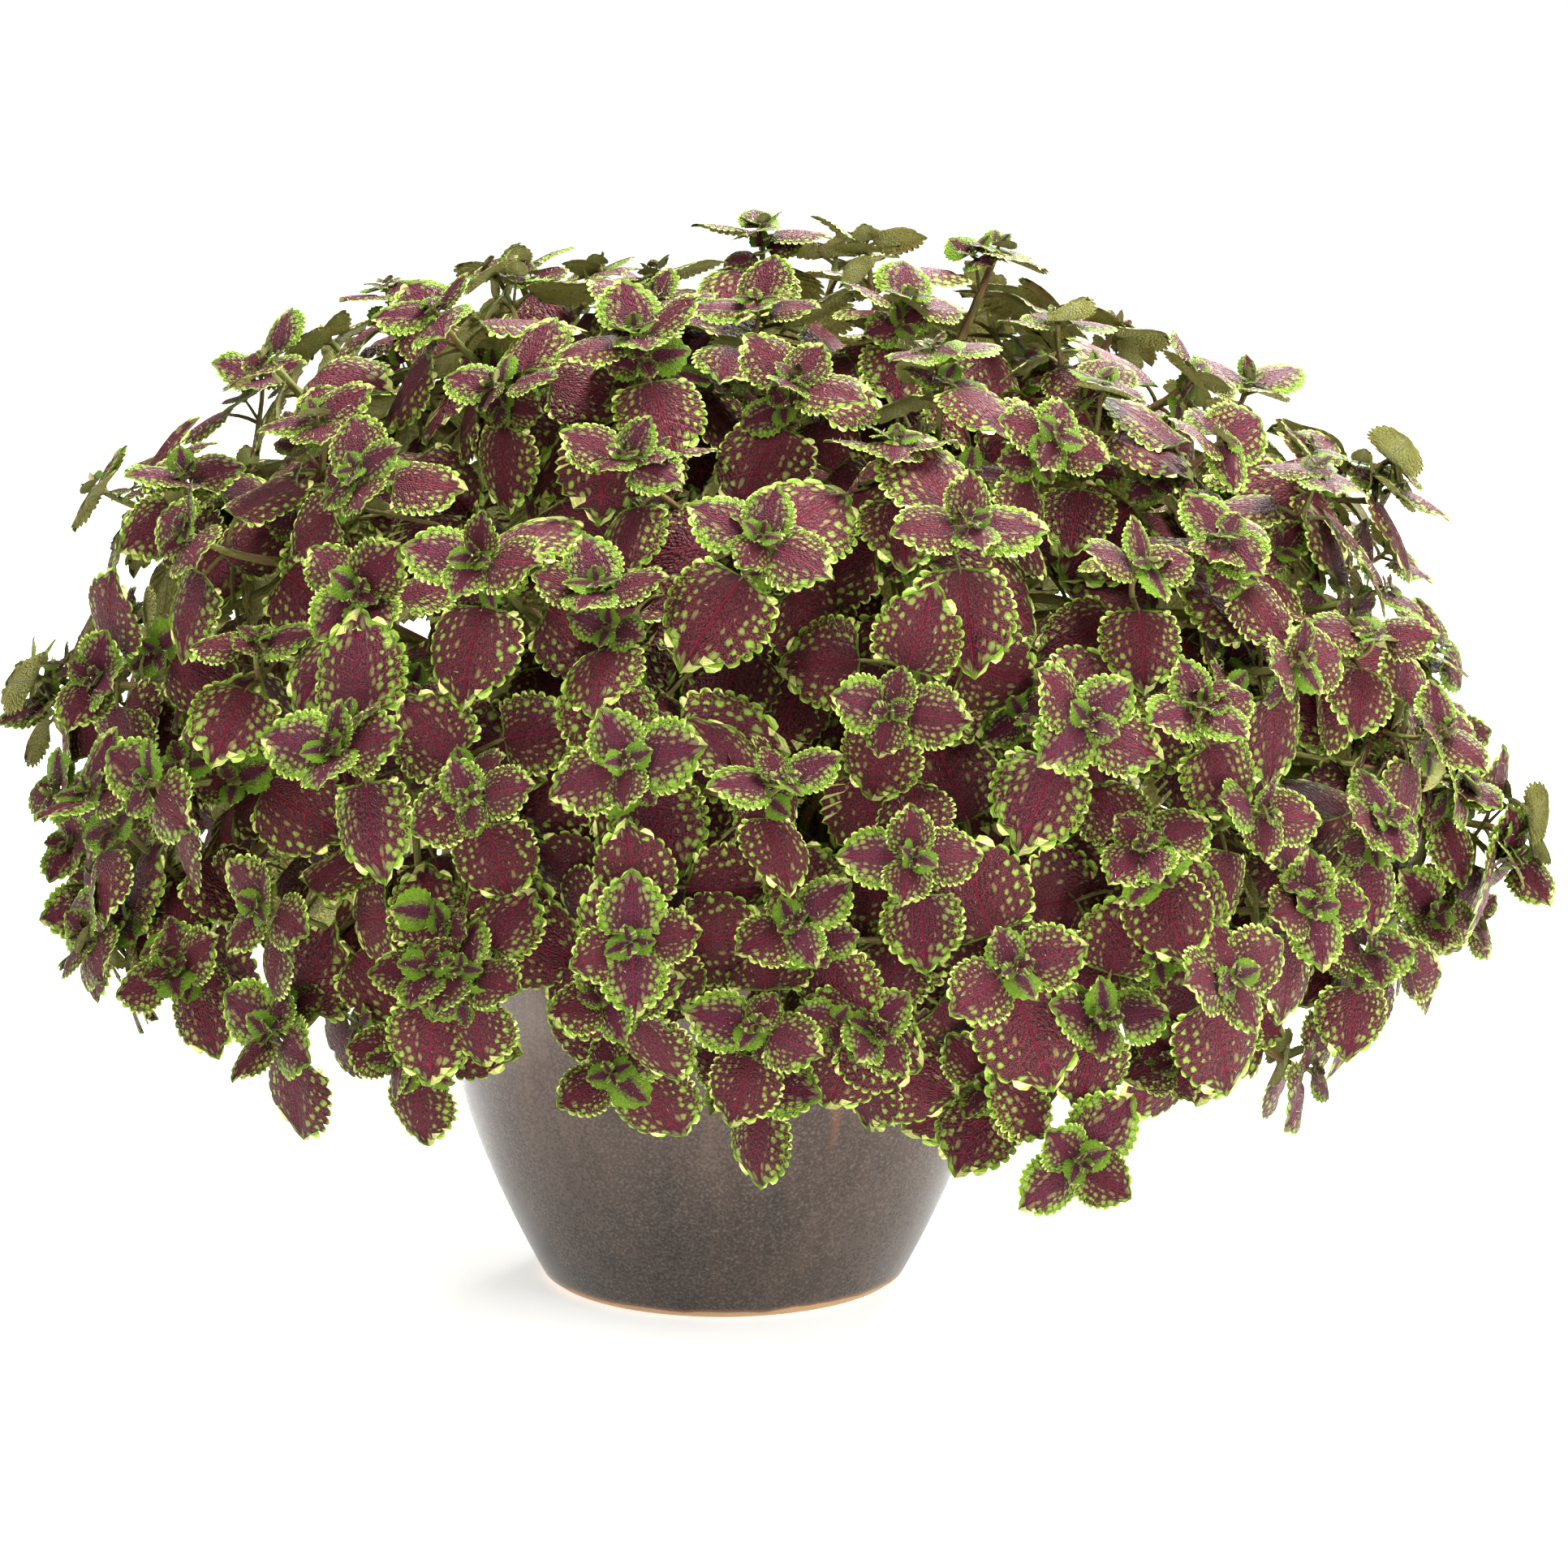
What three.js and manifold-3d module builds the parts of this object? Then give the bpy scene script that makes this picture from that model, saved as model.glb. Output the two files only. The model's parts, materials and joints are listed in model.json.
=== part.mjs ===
// A coleus grown as a round mound of leafy stems in a glazed stoneware planter.
// Millimetres, +Z up. The floor is z = 0 and the pot's axis is the Z axis; the crown leans to +X.
import * as THREE from "three";
import { mergeVertices } from "three/addons/utils/BufferGeometryUtils.js";
import Module from "manifold-3d";

const wasm = await Module();
wasm.setup();
const RAD = Math.PI / 180;

// The planter: foot, belly and rim of one thrown wall.
const FOOT_R = 100;
const BELLY_R = 158;
const BELLY_Z = 190;
const RIM_R = 154;
const RIM_Z = 262;
const WALL = 10;
const FLOOR_T = 13;
const POT_SIDES = 28;
const SOIL_SIDES = 18;
const DRAIN_R = 7;
const DRAIN_RING = 46;

// The potting mix, level a finger's width below the rim.
const SOIL_Z = 238;
const SOIL_DOME = 6;
const SOIL_SHRINK = 1.8;
const GAP = 0.4;

// The crown: the surface that the growing tips reach, round a centre above the pot.
const CROWN_X = 20;
const CROWN_Z = 262;
const CROWN_WIDE = 388;
const CROWN_DEEP = 376;
const CROWN_HIGH = 308;
const CROWN_POWER = 2.3;
const LOWEST_POLAR = 99;
const ARCHED_FROM = 70;
const ARCHED_OVER = 36;
// Where the mound bulges or dips: [azimuth, polar angle, extra mm, spread], in degrees.
const LUMPS = [
  [0, 14, 20, 16],
  [180, 36, 22, 15],
  [180, 68, 16, 14],
  [0, 46, -16, 11],
  [130, 60, 14, 16],
  [250, 75, 10, 16],
];
// Long shoots that have outgrown the mound: [azimuth, polar angle, reach from its centre].
const STRAYS = [
  [-2, 91, 424],
  [4, 61, 398],
  [181, 79, 404],
  [-62, 109, 362],
  [-31, 107, 352],
  [64, 108, 356],
];

// The stems: square in section, in plain holes in the potting mix. Each stem of the mound forks
// into three shoots, whose tips stand in a triangle in the crown's surface.
const STEMS = 16;
const SHOOTS = 3;
const SPREAD = 12;
const FORKS = [0.42, 0.52];
const STEM_BASE_R = 3.9;
const STEM_TIP_R = 2.7;
const NODE_LONG = 3;
// A shoot bends at least once in this share of its length.
const LONGEST_STRAIGHT = 0.28;
const ROOTED = 26;
// A stem's hole stands this far from the pot's axis, and so much more for each degree that the
// stem's tip is below the crown's top.
const HOLE_IN = 8;
const HOLE_STEP = 1.065;
const GOLDEN_ANGLE = 137.508;
const FIRST_AZIMUTH = 90;
const SEED = 9;

// The leaf pairs of a shoot, from its tip down: how far back they stand, blade and petiole
// length, droop of the blade below square to the shoot, the corners on each side of its edge, and
// the shortest shoot that still carries that pair.
const PAIRS = [
  { back: NODE_LONG / 2, blade: 38, petiole: 8, droop: -16, corners: 3, least: 0 },
  { back: 24, blade: 56, petiole: 16, droop: 10, corners: 5, least: 0 },
  { back: 54, blade: 58, petiole: 25, droop: 26, corners: 3, least: 0 },
  { back: 86, blade: 54, petiole: 30, droop: 34, corners: 3, least: 230 },
  { back: 215, blade: 56, petiole: 34, droop: 30, corners: 3, least: 280 },
];
const PETIOLE_R = 1.15;
const MIDRIB_T = 2;
const HEART = 0.42;
const TOOTH = 0.05;
const CLEAR = 0.45;
const TRIES = 14;

const UP = new THREE.Vector3(0, 0, 1);
const vec = (x, y, z) => new THREE.Vector3(x, y, z);
const smooth = (d, spread) => Math.exp(-((d / spread) ** 2));
const turn = (a, b) => Math.abs(((a - b + 540) % 360) - 180);

// A seeded draw from -1 to 1 that depends only on which place on the plant asks for it.
function draw(...place) {
  let h = SEED;
  for (const key of place) {
    h = Math.imul(h ^ (key + 40503), 0x85ebca6b);
    h = Math.imul(h ^ (h >>> 13), 0xc2b2ae35);
    h ^= h >>> 16;
  }
  return (h >>> 0) / 2 ** 31 - 1;
}

function solidOf(points, triangles) {
  const vertProperties = new Float32Array(points);
  const triVerts = new Uint32Array(triangles);
  const made = new wasm.Manifold(new wasm.Mesh({ numProp: 3, vertProperties, triVerts }));
  if (made.volume() <= 0) throw new Error("a solid is inside out");
  return made;
}

function turned(profile, sides) {
  const lathe = new THREE.LatheGeometry(profile.map(([r, z]) => new THREE.Vector2(r, z)), sides);
  lathe.rotateX(Math.PI / 2);
  lathe.deleteAttribute("normal");
  lathe.deleteAttribute("uv");
  const merged = mergeVertices(lathe, 1e-3);
  const kept = [];
  const index = merged.index.array;
  for (let i = 0; i < index.length; i += 3) {
    const [a, b, c] = index.slice(i, i + 3);
    if (a !== b && b !== c && c !== a) kept.push(a, b, c);
  }
  return solidOf(merged.attributes.position.array, kept);
}

// The pot's outer radius at a height: a quarter wave from foot to belly, then in a little to the rim.
function potRadius(z) {
  if (z < BELLY_Z) return FOOT_R + (BELLY_R - FOOT_R) * Math.sin((Math.PI / 2) * (z / BELLY_Z) ** 0.95);
  return BELLY_R - (BELLY_R - RIM_R) * ((z - BELLY_Z) / (RIM_Z - BELLY_Z)) ** 2;
}

// One shell of clay with a rounded lip, an inside that follows the outside, and drainage holes.
function makePot() {
  const lip = WALL / 2;
  const outside = [3, 24, 56, 94, 138, BELLY_Z, RIM_Z - lip].map((z) => [potRadius(z), z]);
  const top = [45, 90, 135].map((a) => [
    RIM_R - lip + lip * Math.cos(a * RAD),
    RIM_Z - lip + lip * Math.sin(a * RAD),
  ]);
  const inside = [RIM_Z - lip, BELLY_Z, 112, 56, FLOOR_T + 10].map((z) => [potRadius(z) - WALL, z]);
  const foot = [0, FOOT_R - 2, FOOT_R + 0.5].map((r, i) => [r, i === 2 ? 1.5 : 0]);
  const floor = [[FOOT_R - WALL - 9, FLOOR_T], [0, FLOOR_T]];
  let pot = turned([...foot, ...outside, ...top, ...inside, ...floor], POT_SIDES);
  for (const a of [30, 150, 270]) {
    const at = [DRAIN_RING * Math.cos(a * RAD), DRAIN_RING * Math.sin(a * RAD), -1];
    pot = pot.subtract(wasm.Manifold.cylinder(FLOOR_T + 2, DRAIN_R, DRAIN_R, 10).translate(at));
  }
  return pot;
}

// The potting mix fills the pot and is bored for each stem.
function makeSoil(stems) {
  const edge = [FLOOR_T + 12, 56, 112, BELLY_Z, SOIL_Z].map((z) => [potRadius(z) - WALL - SOIL_SHRINK, z]);
  const dome = [[90, SOIL_Z + SOIL_DOME * 0.7], [0, SOIL_Z + SOIL_DOME]];
  const bottom = [[0, FLOOR_T + GAP], [FOOT_R - WALL - 12, FLOOR_T + GAP]];
  let soil = turned([...bottom, ...edge, ...dome], SOIL_SIDES);
  const side = 2 * (STEM_BASE_R + GAP) * Math.SQRT1_2;
  for (const stem of stems) {
    const bore = wasm.Manifold.cube([side, side, 60], true).rotate([0, 0, stem.azimuth + stem.phase]);
    soil = soil.subtract(bore.translate([stem.foot.x, stem.foot.y, stem.foot.z - GAP + 30]));
  }
  return soil;
}

// How far the growing tips reach from the crown's centre, towards an azimuth and polar angle.
function crownReach(azimuth, polar) {
  const wide = CROWN_DEEP + (CROWN_WIDE - CROWN_DEEP) * Math.cos(azimuth * RAD) ** 2;
  const s = Math.sin(polar * RAD) / wide;
  const c = Math.max(0, Math.cos(polar * RAD)) / CROWN_HIGH;
  let reach = (s ** CROWN_POWER + c ** CROWN_POWER) ** (-1 / CROWN_POWER);
  if (polar > 90) reach = wide * (1 - 0.236 * ((polar - 90) / 21.4) ** 2);
  for (const [az, pol, extra, spread] of LUMPS) {
    const aside = turn(azimuth, az) * Math.sin(polar * RAD);
    reach += extra * smooth(Math.hypot(aside, polar - pol), spread);
  }
  return reach;
}

// Azimuth, polar angle and reach of shoot k of stem i: stems evenly over the crown, their shoots
// round that place, and then the long shoots.
function tipPlace(i, k) {
  if (i >= STEMS) return STRAYS[i - STEMS];
  const share = (i + 0.5) / STEMS;
  const middle = Math.acos(1 - share * (1 - Math.cos(LOWEST_POLAR * RAD))) / RAD;
  const round = (120 * k + 20 * draw(i, k, 1)) * RAD;
  const polar = Math.max(3, middle - SPREAD * Math.cos(round));
  const aside = (SPREAD * Math.sin(round)) / Math.max(0.3, Math.sin(polar * RAD));
  const azimuth = (FIRST_AZIMUTH + i * GOLDEN_ANGLE + aside) % 360;
  return [azimuth, polar, crownReach(azimuth, polar) * (0.98 + 0.04 * draw(i, k, 2))];
}

const outward = (azimuth) => vec(Math.cos(azimuth * RAD), Math.sin(azimuth * RAD), 0);

// Shoot k of stem i. Shoot 0 is the stem itself, upright out of its hole and then an arch to its
// tip; the others leave it at a fork.
function shootLine(i, k, main) {
  const [azimuth, polar, reach] = tipPlace(i, k);
  const out = outward(azimuth);
  const low = Math.max(0, (polar - ARCHED_FROM) / ARCHED_OVER);
  const tip = vec(CROWN_X, 0, CROWN_Z)
    .addScaledVector(out, reach * Math.sin(polar * RAD))
    .addScaledVector(UP, reach * Math.cos(polar * RAD));
  const facing = out.clone().multiplyScalar(Math.sin(Math.min(polar, 84) * RAD));
  facing.addScaledVector(UP, Math.cos(Math.min(polar, 84) * RAD) + 0.12).normalize();
  const shoot = { i, k, azimuth, out, facing, phase: 45 * draw(i, k, 3) };
  if (k) {
    const start = main.curve.getPoint(FORKS[k - 1]);
    shoot.long = tip.distanceTo(start);
    const leave = main.curve.getTangent(FORKS[k - 1]).multiplyScalar(0.3 * shoot.long).add(start);
    const arrive = tip.clone().addScaledVector(facing, -0.3 * shoot.long);
    shoot.curve = new THREE.CubicBezierCurve3(start, leave, arrive, tip);
  } else {
    shoot.foot = out.clone().multiplyScalar(HOLE_IN + HOLE_STEP * polar).setZ(SOIL_Z - ROOTED);
    const ground = shoot.foot.clone().setZ(SOIL_Z + 8);
    shoot.long = tip.distanceTo(ground);
    const rise = ground.clone().addScaledVector(UP, shoot.long * (0.34 + 0.16 * low));
    rise.addScaledVector(out, 0.05 * shoot.long);
    const arrive = tip.clone().addScaledVector(facing, -0.3 * shoot.long);
    arrive.addScaledVector(UP, 0.13 * shoot.long * low);
    shoot.curve = new THREE.CubicBezierCurve3(ground, rise, arrive, tip);
  }
  return shoot;
}

const nodeShare = (shoot, pair) => 1 - PAIRS[pair].back / shoot.long;
const carries = (shoot, pair) => shoot.long > PAIRS[pair].least;

// A shoot and its leaves as one closed skin. The stem is square, its flats turned towards its
// leaf pairs; where a pair stands, two rings close together leave a flat for each petiole.
function makeShoot(shoot, leaves = []) {
  const half = NODE_LONG / 2 / shoot.long;
  const shares = shoot.k ? [0] : [-1, 0];
  const pairAt = [];
  for (let pair = PAIRS.length - 1; pair >= 0; pair--) {
    if (!carries(shoot, pair)) continue;
    const [last, next] = [shares.at(-1), nodeShare(shoot, pair) - half];
    const bends = Math.floor((next - last) / LONGEST_STRAIGHT);
    for (let n = 1; n <= bends; n++) shares.push(last + ((next - last) * n) / (bends + 1));
    pairAt[shares.length] = pair;
    shares.push(next, next + 2 * half);
  }
  const thick = shoot.k ? STEM_TIP_R + 0.3 : STEM_BASE_R;
  const side = vec(-shoot.out.y, shoot.out.x, 0);
  const points = [];
  const triangles = [];
  for (const t of shares) {
    const middle = t < 0 ? shoot.foot : shoot.curve.getPoint(t);
    const along = t <= 0 && !shoot.k ? UP : shoot.curve.getTangent(t);
    const face = along.clone().cross(side).normalize();
    const r = thick + (STEM_TIP_R - thick) * Math.max(0, t);
    for (let c = 0; c < 4; c++) {
      const a = (c * 90 + 45 + shoot.phase) * RAD;
      const corner = middle.clone().addScaledVector(side, r * Math.cos(a));
      points.push(...corner.addScaledVector(face, r * Math.sin(a)));
    }
  }
  for (let n = 0; n + 1 < shares.length; n++)
    for (let c = 0; c < 4; c++) {
      const [a, b] = [n * 4 + c, n * 4 + ((c + 1) % 4)];
      const leaf = leaves.find(({ pair, flat }) => flat === c && pairAt[n] === pair);
      if (leaf) addLeaf(points, triangles, leaf.place, [b + 4, a + 4, a, b]);
      else triangles.push(a, b, a + 4, b, b + 4, a + 4);
    }
  const last = (shares.length - 1) * 4;
  triangles.push(0, 2, 1, 0, 3, 2, last, last + 1, last + 2, last, last + 2, last + 3);
  return solidOf(points, triangles);
}

// A point of half a blade's edge, as shares of its length along and across, s from base to tip.
function edgePoint(s, grow) {
  const along = s ** 1.5;
  const across = 0.46 * Math.sin(Math.PI * along ** 0.6) ** 0.85;
  const ear = 0.075 * Math.sin(Math.PI * Math.min(1, s / 0.42)) ** 2;
  return [0.36 + (along - ear - 0.36) * (1 + grow), across * (1 + grow)];
}

// Height of the blade over its flat, in the same shares: arched along and across, with a fold.
const bladeHeight = (u, v) => 0.1 * u - 0.26 * u * u + 0.1 * Math.abs(v) - 0.62 * v * v;

// Where leaf (pair, side) of a shoot stands, on its given try. The first try is the plain rule.
function leafPlace(shoot, pair, side, attempt) {
  const rule = PAIRS[pair];
  const low = Math.min(pair, 3);
  const jog = (n) => draw(shoot.i, shoot.k, pair, side, attempt, n) * (1 + 0.12 * attempt);
  const t = nodeShare(shoot, pair);
  const node = shoot.curve.getPoint(t);
  const axis = shoot.curve.getTangent(t).addScaledVector(shoot.facing, 1).normalize();
  const across = vec(-shoot.out.y, shoot.out.x, 0);
  const face = axis.clone().cross(across).normalize();
  const round = (shoot.phase + 90 * pair + 180 * side + 13 * jog(1)) * RAD;
  const aside = across.multiplyScalar(Math.cos(round)).addScaledVector(face, Math.sin(round));
  const droop = (rule.droop + 14 * jog(2)) * RAD;
  const blade = rule.blade * (1 + 0.09 * jog(3));
  const ahead = aside.clone().multiplyScalar(Math.cos(droop)).addScaledVector(axis, -Math.sin(droop));
  ahead.addScaledVector(UP, -0.18 * low).normalize();
  const normal = axis.clone().multiplyScalar(Math.cos(droop)).addScaledVector(aside, Math.sin(droop));
  normal.addScaledVector(UP, 0.16).addScaledVector(aside.clone().cross(axis), 0.2 * jog(4));
  normal.addScaledVector(ahead, -normal.dot(ahead)).normalize();
  const stalk = aside.clone().addScaledVector(axis, 0.55 - 0.2 * low).normalize();
  const base = node.clone().addScaledVector(stalk, rule.petiole * (1 + 0.25 * jog(5)));
  return { node, base, ahead, normal, beside: normal.clone().cross(ahead), blade, corners: rule.corners };
}

// The corners of a petiole's section, round its top from the left: square at the stem, three-sided
// and flat on top at the blade.
const AT_STEM = [[1, 1], [-1, 1], [-1, -1], [1, -1]];
const AT_BLADE = [[1, 0.7], [-1, 0.7], [0, -1.1]];
const section = ({ beside, normal }, middle, corners) =>
  corners.map(([left, up]) =>
    middle.clone().addScaledVector(beside, left * PETIOLE_R).addScaledVector(normal, up * PETIOLE_R),
  );

// Draws a leaf out of the four root points: a petiole that opens into a blade, thickest at its
// heart and thin at its toothed edge, with the same split on both faces.
function addLeaf(points, triangles, place, root) {
  const { base, ahead, normal, beside, blade, corners } = place;
  const add = (p) => points.push(...p) / 3 - 1;
  const at = (u, v) =>
    base.clone().addScaledVector(ahead, u * blade).addScaledVector(beside, v * blade)
      .addScaledVector(normal, bladeHeight(u, v) * blade);
  const neck = section(place, base, AT_BLADE).map(add);
  const over = add(at(HEART, 0).addScaledVector(normal, MIDRIB_T / 2));
  const under = add(at(HEART, 0).addScaledVector(normal, -MIDRIB_T / 2));
  const steps = Array.from({ length: corners }, (_, n) => (n + 1) / (corners + 1));
  const half = (hand) =>
    steps.map((s, n) => {
      const [u, v] = edgePoint(s, n % 2 ? -TOOTH : TOOTH);
      return add(at(u, hand * v));
    });
  const edge = [...half(1), add(at(1, 0)), ...half(-1).reverse()];
  const top = [neck[0], ...edge, neck[1]];
  const bottom = [neck[2], ...edge];
  top.forEach((corner, n) => triangles.push(over, top[(n + 1) % top.length], corner));
  bottom.forEach((corner, n) => triangles.push(under, corner, bottom[(n + 1) % bottom.length]));
  triangles.push(neck[0], edge[0], neck[2], neck[1], neck[2], edge.at(-1));
  triangles.push(root[1], neck[1], neck[0], root[2], neck[2], neck[1], root[0], neck[0], neck[2]);
  triangles.push(root[1], neck[0], root[0], root[2], neck[1], root[1]);
  triangles.push(root[3], neck[2], root[2], root[0], neck[2], root[3]);
}

// A leaf on its own, from a share of the way up its petiole, to try how it stands.
function looseLeaf(place, start) {
  const points = section(place, place.node.clone().lerp(place.base, start), AT_STEM).flatMap((p) => [...p]);
  const triangles = [0, 3, 2, 0, 2, 1];
  addLeaf(points, triangles, place, [0, 1, 2, 3]);
  return solidOf(points, triangles);
}

// Are two solids nearer than CLEAR? Boxes first, then their true gap.
function near(a, b) {
  const [p, q] = [a.boundingBox(), b.boundingBox()];
  for (let k = 0; k < 3; k++)
    if (p.min[k] - CLEAR > q.max[k] || q.min[k] - CLEAR > p.max[k]) return false;
  return a.minGap(b, CLEAR) < CLEAR;
}

const stems = Array.from({ length: STEMS + STRAYS.length }, (_, i) => {
  const shoots = [shootLine(i, 0)];
  for (let k = 1; k < SHOOTS && i < STEMS; k++) shoots.push(shootLine(i, k, shoots[0]));
  const solid = shoots.map((shoot) => makeShoot(shoot)).reduce((all, shoot) => all.add(shoot));
  return { shoots, solid };
});
const pot = makePot();
const soil = makeSoil(stems.map((stem) => stem.shoots[0]));
stems.forEach((a, i) => {
  if (near(a.solid, pot)) throw new Error(`stem ${i + 1} touches the pot`);
  stems.slice(i + 1).forEach((b, n) => {
    if (near(a.solid, b.solid)) throw new Error(`stems ${i + 1} and ${i + n + 2} touch`);
  });
});

// Leaves are set tip first, each on the first try that stands clear of all that is set already.
const set = [];
for (let pair = 0; pair < PAIRS.length; pair++)
  for (const stem of stems)
    for (const shoot of stem.shoots.filter((one) => carries(one, pair)))
      for (let side = 0; side < 2; side++) {
        let found = null;
        for (let attempt = 0; attempt < TRIES && !found; attempt++) {
          const place = leafPlace(shoot, pair, side, attempt);
          const free = looseLeaf(place, 0.55);
          const hit =
            near(free, pot) || near(free, soil) ||
            stems.some((other) => near(free, other.solid)) ||
            set.some((other) => near(free, other.stem === stem ? other.free : other.whole));
          if (hit) continue;
          const flat = (pair + 2 * side + 3) % 4;
          found = { stem, shoot, pair, flat, place, free, whole: looseLeaf(place, 0.1) };
        }
        if (found) set.push(found);
      }

const part = new THREE.Group();
function addNode(name, solid, color, roughness) {
  const { vertProperties, triVerts } = solid.getMesh();
  const geometry = new THREE.BufferGeometry();
  geometry.setAttribute("position", new THREE.BufferAttribute(new Float32Array(vertProperties), 3));
  geometry.setIndex(new THREE.BufferAttribute(new Uint32Array(triVerts), 1));
  const node = new THREE.Mesh(geometry, new THREE.MeshStandardMaterial({ color, roughness }));
  node.name = name;
  part.add(node);
}
addNode("pot", pot, 0x6d635b, 0.35);
addNode("soil", soil, 0x33261c, 0.95);
stems.forEach(({ shoots }, i) => {
  const grown = shoots
    .map((shoot) => makeShoot(shoot, set.filter((leaf) => leaf.shoot === shoot)))
    .reduce((all, shoot) => all.add(shoot));
  addNode(`leafy_stem_${String(i + 1).padStart(2, "0")}`, grown, i % 2 ? 0x6b2435 : 0x7d3347, 0.6);
});
export default part;
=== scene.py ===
import json
import math

import bpy
import numpy as np
from mathutils import Matrix, Vector, noise

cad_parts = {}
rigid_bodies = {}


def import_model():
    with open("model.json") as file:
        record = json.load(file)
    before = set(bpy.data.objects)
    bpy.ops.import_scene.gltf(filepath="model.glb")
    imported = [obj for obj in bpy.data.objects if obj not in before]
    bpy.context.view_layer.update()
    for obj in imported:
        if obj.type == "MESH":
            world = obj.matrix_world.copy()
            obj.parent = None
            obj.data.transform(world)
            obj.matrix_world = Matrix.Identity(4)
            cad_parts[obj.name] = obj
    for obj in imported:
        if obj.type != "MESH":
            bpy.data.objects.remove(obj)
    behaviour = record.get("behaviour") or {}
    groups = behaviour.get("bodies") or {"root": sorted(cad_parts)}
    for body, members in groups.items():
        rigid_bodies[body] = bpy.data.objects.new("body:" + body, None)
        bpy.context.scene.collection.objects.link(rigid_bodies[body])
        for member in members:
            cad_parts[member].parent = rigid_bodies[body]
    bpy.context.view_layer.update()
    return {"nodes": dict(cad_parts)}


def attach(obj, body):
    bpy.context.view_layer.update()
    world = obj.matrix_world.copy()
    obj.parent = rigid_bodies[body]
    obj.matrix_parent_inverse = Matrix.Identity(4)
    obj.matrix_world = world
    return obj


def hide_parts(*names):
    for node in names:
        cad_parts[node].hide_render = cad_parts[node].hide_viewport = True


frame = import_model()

# The planter: one thrown wall of stoneware with a satin taupe glaze that has run a little in the
# kiln. It stands on a bare foot edge, which the glaze stops short of, and has three drainage holes.
FOOT_R, BELLY_R, BELLY_Z, RIM_R, RIM_Z = 0.100, 0.158, 0.190, 0.154, 0.262
WALL, FLOOR_T, DRAIN_R, DRAIN_RING, DRAIN_SIDES = 0.010, 0.013, 0.007, 0.046, 20
POT_AROUND = 144
GLAZE_STOPS, RUST_AZIMUTH = 0.0042, -1.147


def pot_radius(z):
    """The wall's outer radius: a quarter wave up to the belly, then a little in towards the rim."""
    if z < BELLY_Z:
        return FOOT_R + (BELLY_R - FOOT_R) * math.sin(math.pi / 2 * (z / BELLY_Z) ** 0.95)
    return BELLY_R - (BELLY_R - RIM_R) * ((z - BELLY_Z) / (RIM_Z - BELLY_Z)) ** 2


def plain_object(name, points, faces, *materials):
    """A smooth mesh object at the origin."""
    mesh = bpy.data.meshes.new(name)
    mesh.from_pydata([tuple(map(float, p)) for p in points], [], faces, shade_flat=False)
    for material in materials:
        mesh.materials.append(material)
    made = bpy.data.objects.new(name, mesh)
    bpy.context.scene.collection.objects.link(made)
    return made


def settled(piece):
    """The object with its modifiers made part of a plain mesh."""
    bpy.context.view_layer.update()
    graph = bpy.context.evaluated_depsgraph_get()
    mesh = bpy.data.meshes.new_from_object(piece.evaluated_get(graph), depsgraph=graph)
    piece.modifiers.clear()
    piece.data = mesh
    return piece


def thrown(name, profile, around, swell, material):
    """A closed body turned round the Z axis; its profile starts and ends on the axis."""
    rings = profile[1:-1]
    points = [(0, 0, profile[0][1])]
    for r, z in rings:
        for n in range(around):
            a = 2 * math.pi * n / around
            wide = r * (1 + swell(a, z))
            points.append((wide * math.cos(a), wide * math.sin(a), z))
    points.append((0, 0, profile[-1][1]))
    last, faces = len(points) - 1, []
    for n in range(around):
        m = (n + 1) % around
        faces.append((0, 1 + m, 1 + n))
        for ring in range(len(rings) - 1):
            a = 1 + ring * around
            faces.append((a + n, a + m, a + around + m, a + around + n))
        faces.append((last - around + n, last - around + m, last))
    return plain_object(name, points, faces, material)


class Shade:
    """A socket in a material's node tree; arithmetic on it adds Math nodes."""

    def __init__(self, tree, socket=None):
        self.tree, self.socket = tree, socket

    def node(self, kind, settings=None, sockets=None, output=0):
        made = self.tree.nodes.new("ShaderNode" + kind)
        for key, value in (settings or {}).items():
            if key == "stops":
                stops = made.color_ramp.elements
                while len(stops) < len(value):
                    stops.new(1)
                for stop, (place, tint) in zip(stops, value):
                    stop.position, stop.color = place, tint
            else:
                setattr(made, key, value)
        for key, value in (sockets or {}).items():
            if isinstance(value, Shade):
                self.tree.links.new(value.socket, made.inputs[key])
            else:
                made.inputs[key].default_value = value
        return Shade(self.tree, made.outputs[output])

    def maths(self, operation, *values):
        return self.node("Math", {"operation": operation}, dict(enumerate(values)))

    def __add__(self, other):
        return self.maths("ADD", self, other)

    def __sub__(self, other):
        return self.maths("SUBTRACT", self, other)

    def __rsub__(self, other):
        return self.maths("SUBTRACT", other, self)

    def __mul__(self, other):
        return self.maths("MULTIPLY", self, other)

    def __truediv__(self, other):
        return self.maths("DIVIDE", self, other)

    __radd__, __rmul__ = __add__, __mul__

    def step(self, low, high):
        """Goes smoothly from 0 at low to 1 at high."""
        settings = {"interpolation_type": "SMOOTHSTEP"}
        return self.node("MapRange", settings, {"Value": self, "From Min": low, "From Max": high})

    def mix(self, none, full):
        """The colour none where this is 0 and full where it is 1."""
        return self.node("Mix", {"data_type": "RGBA"}, {0: self, 6: none, 7: full}, 2)

    def noise(self, place, scale, detail=2, rough=0.5, room="3D"):
        sockets = {"Vector": place, "Scale": scale, "Detail": detail, "Roughness": rough}
        return self.node("TexNoise", {"noise_dimensions": room}, sockets)


def tint(red, green, blue):
    """A colour from its display values, 0 to 255."""
    share = [v / 255 for v in (red, green, blue)]
    return (*((v + 0.055) ** 2.4 / 1.055 ** 2.4 if v > 0.04 else v / 12.92 for v in share), 1)


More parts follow.
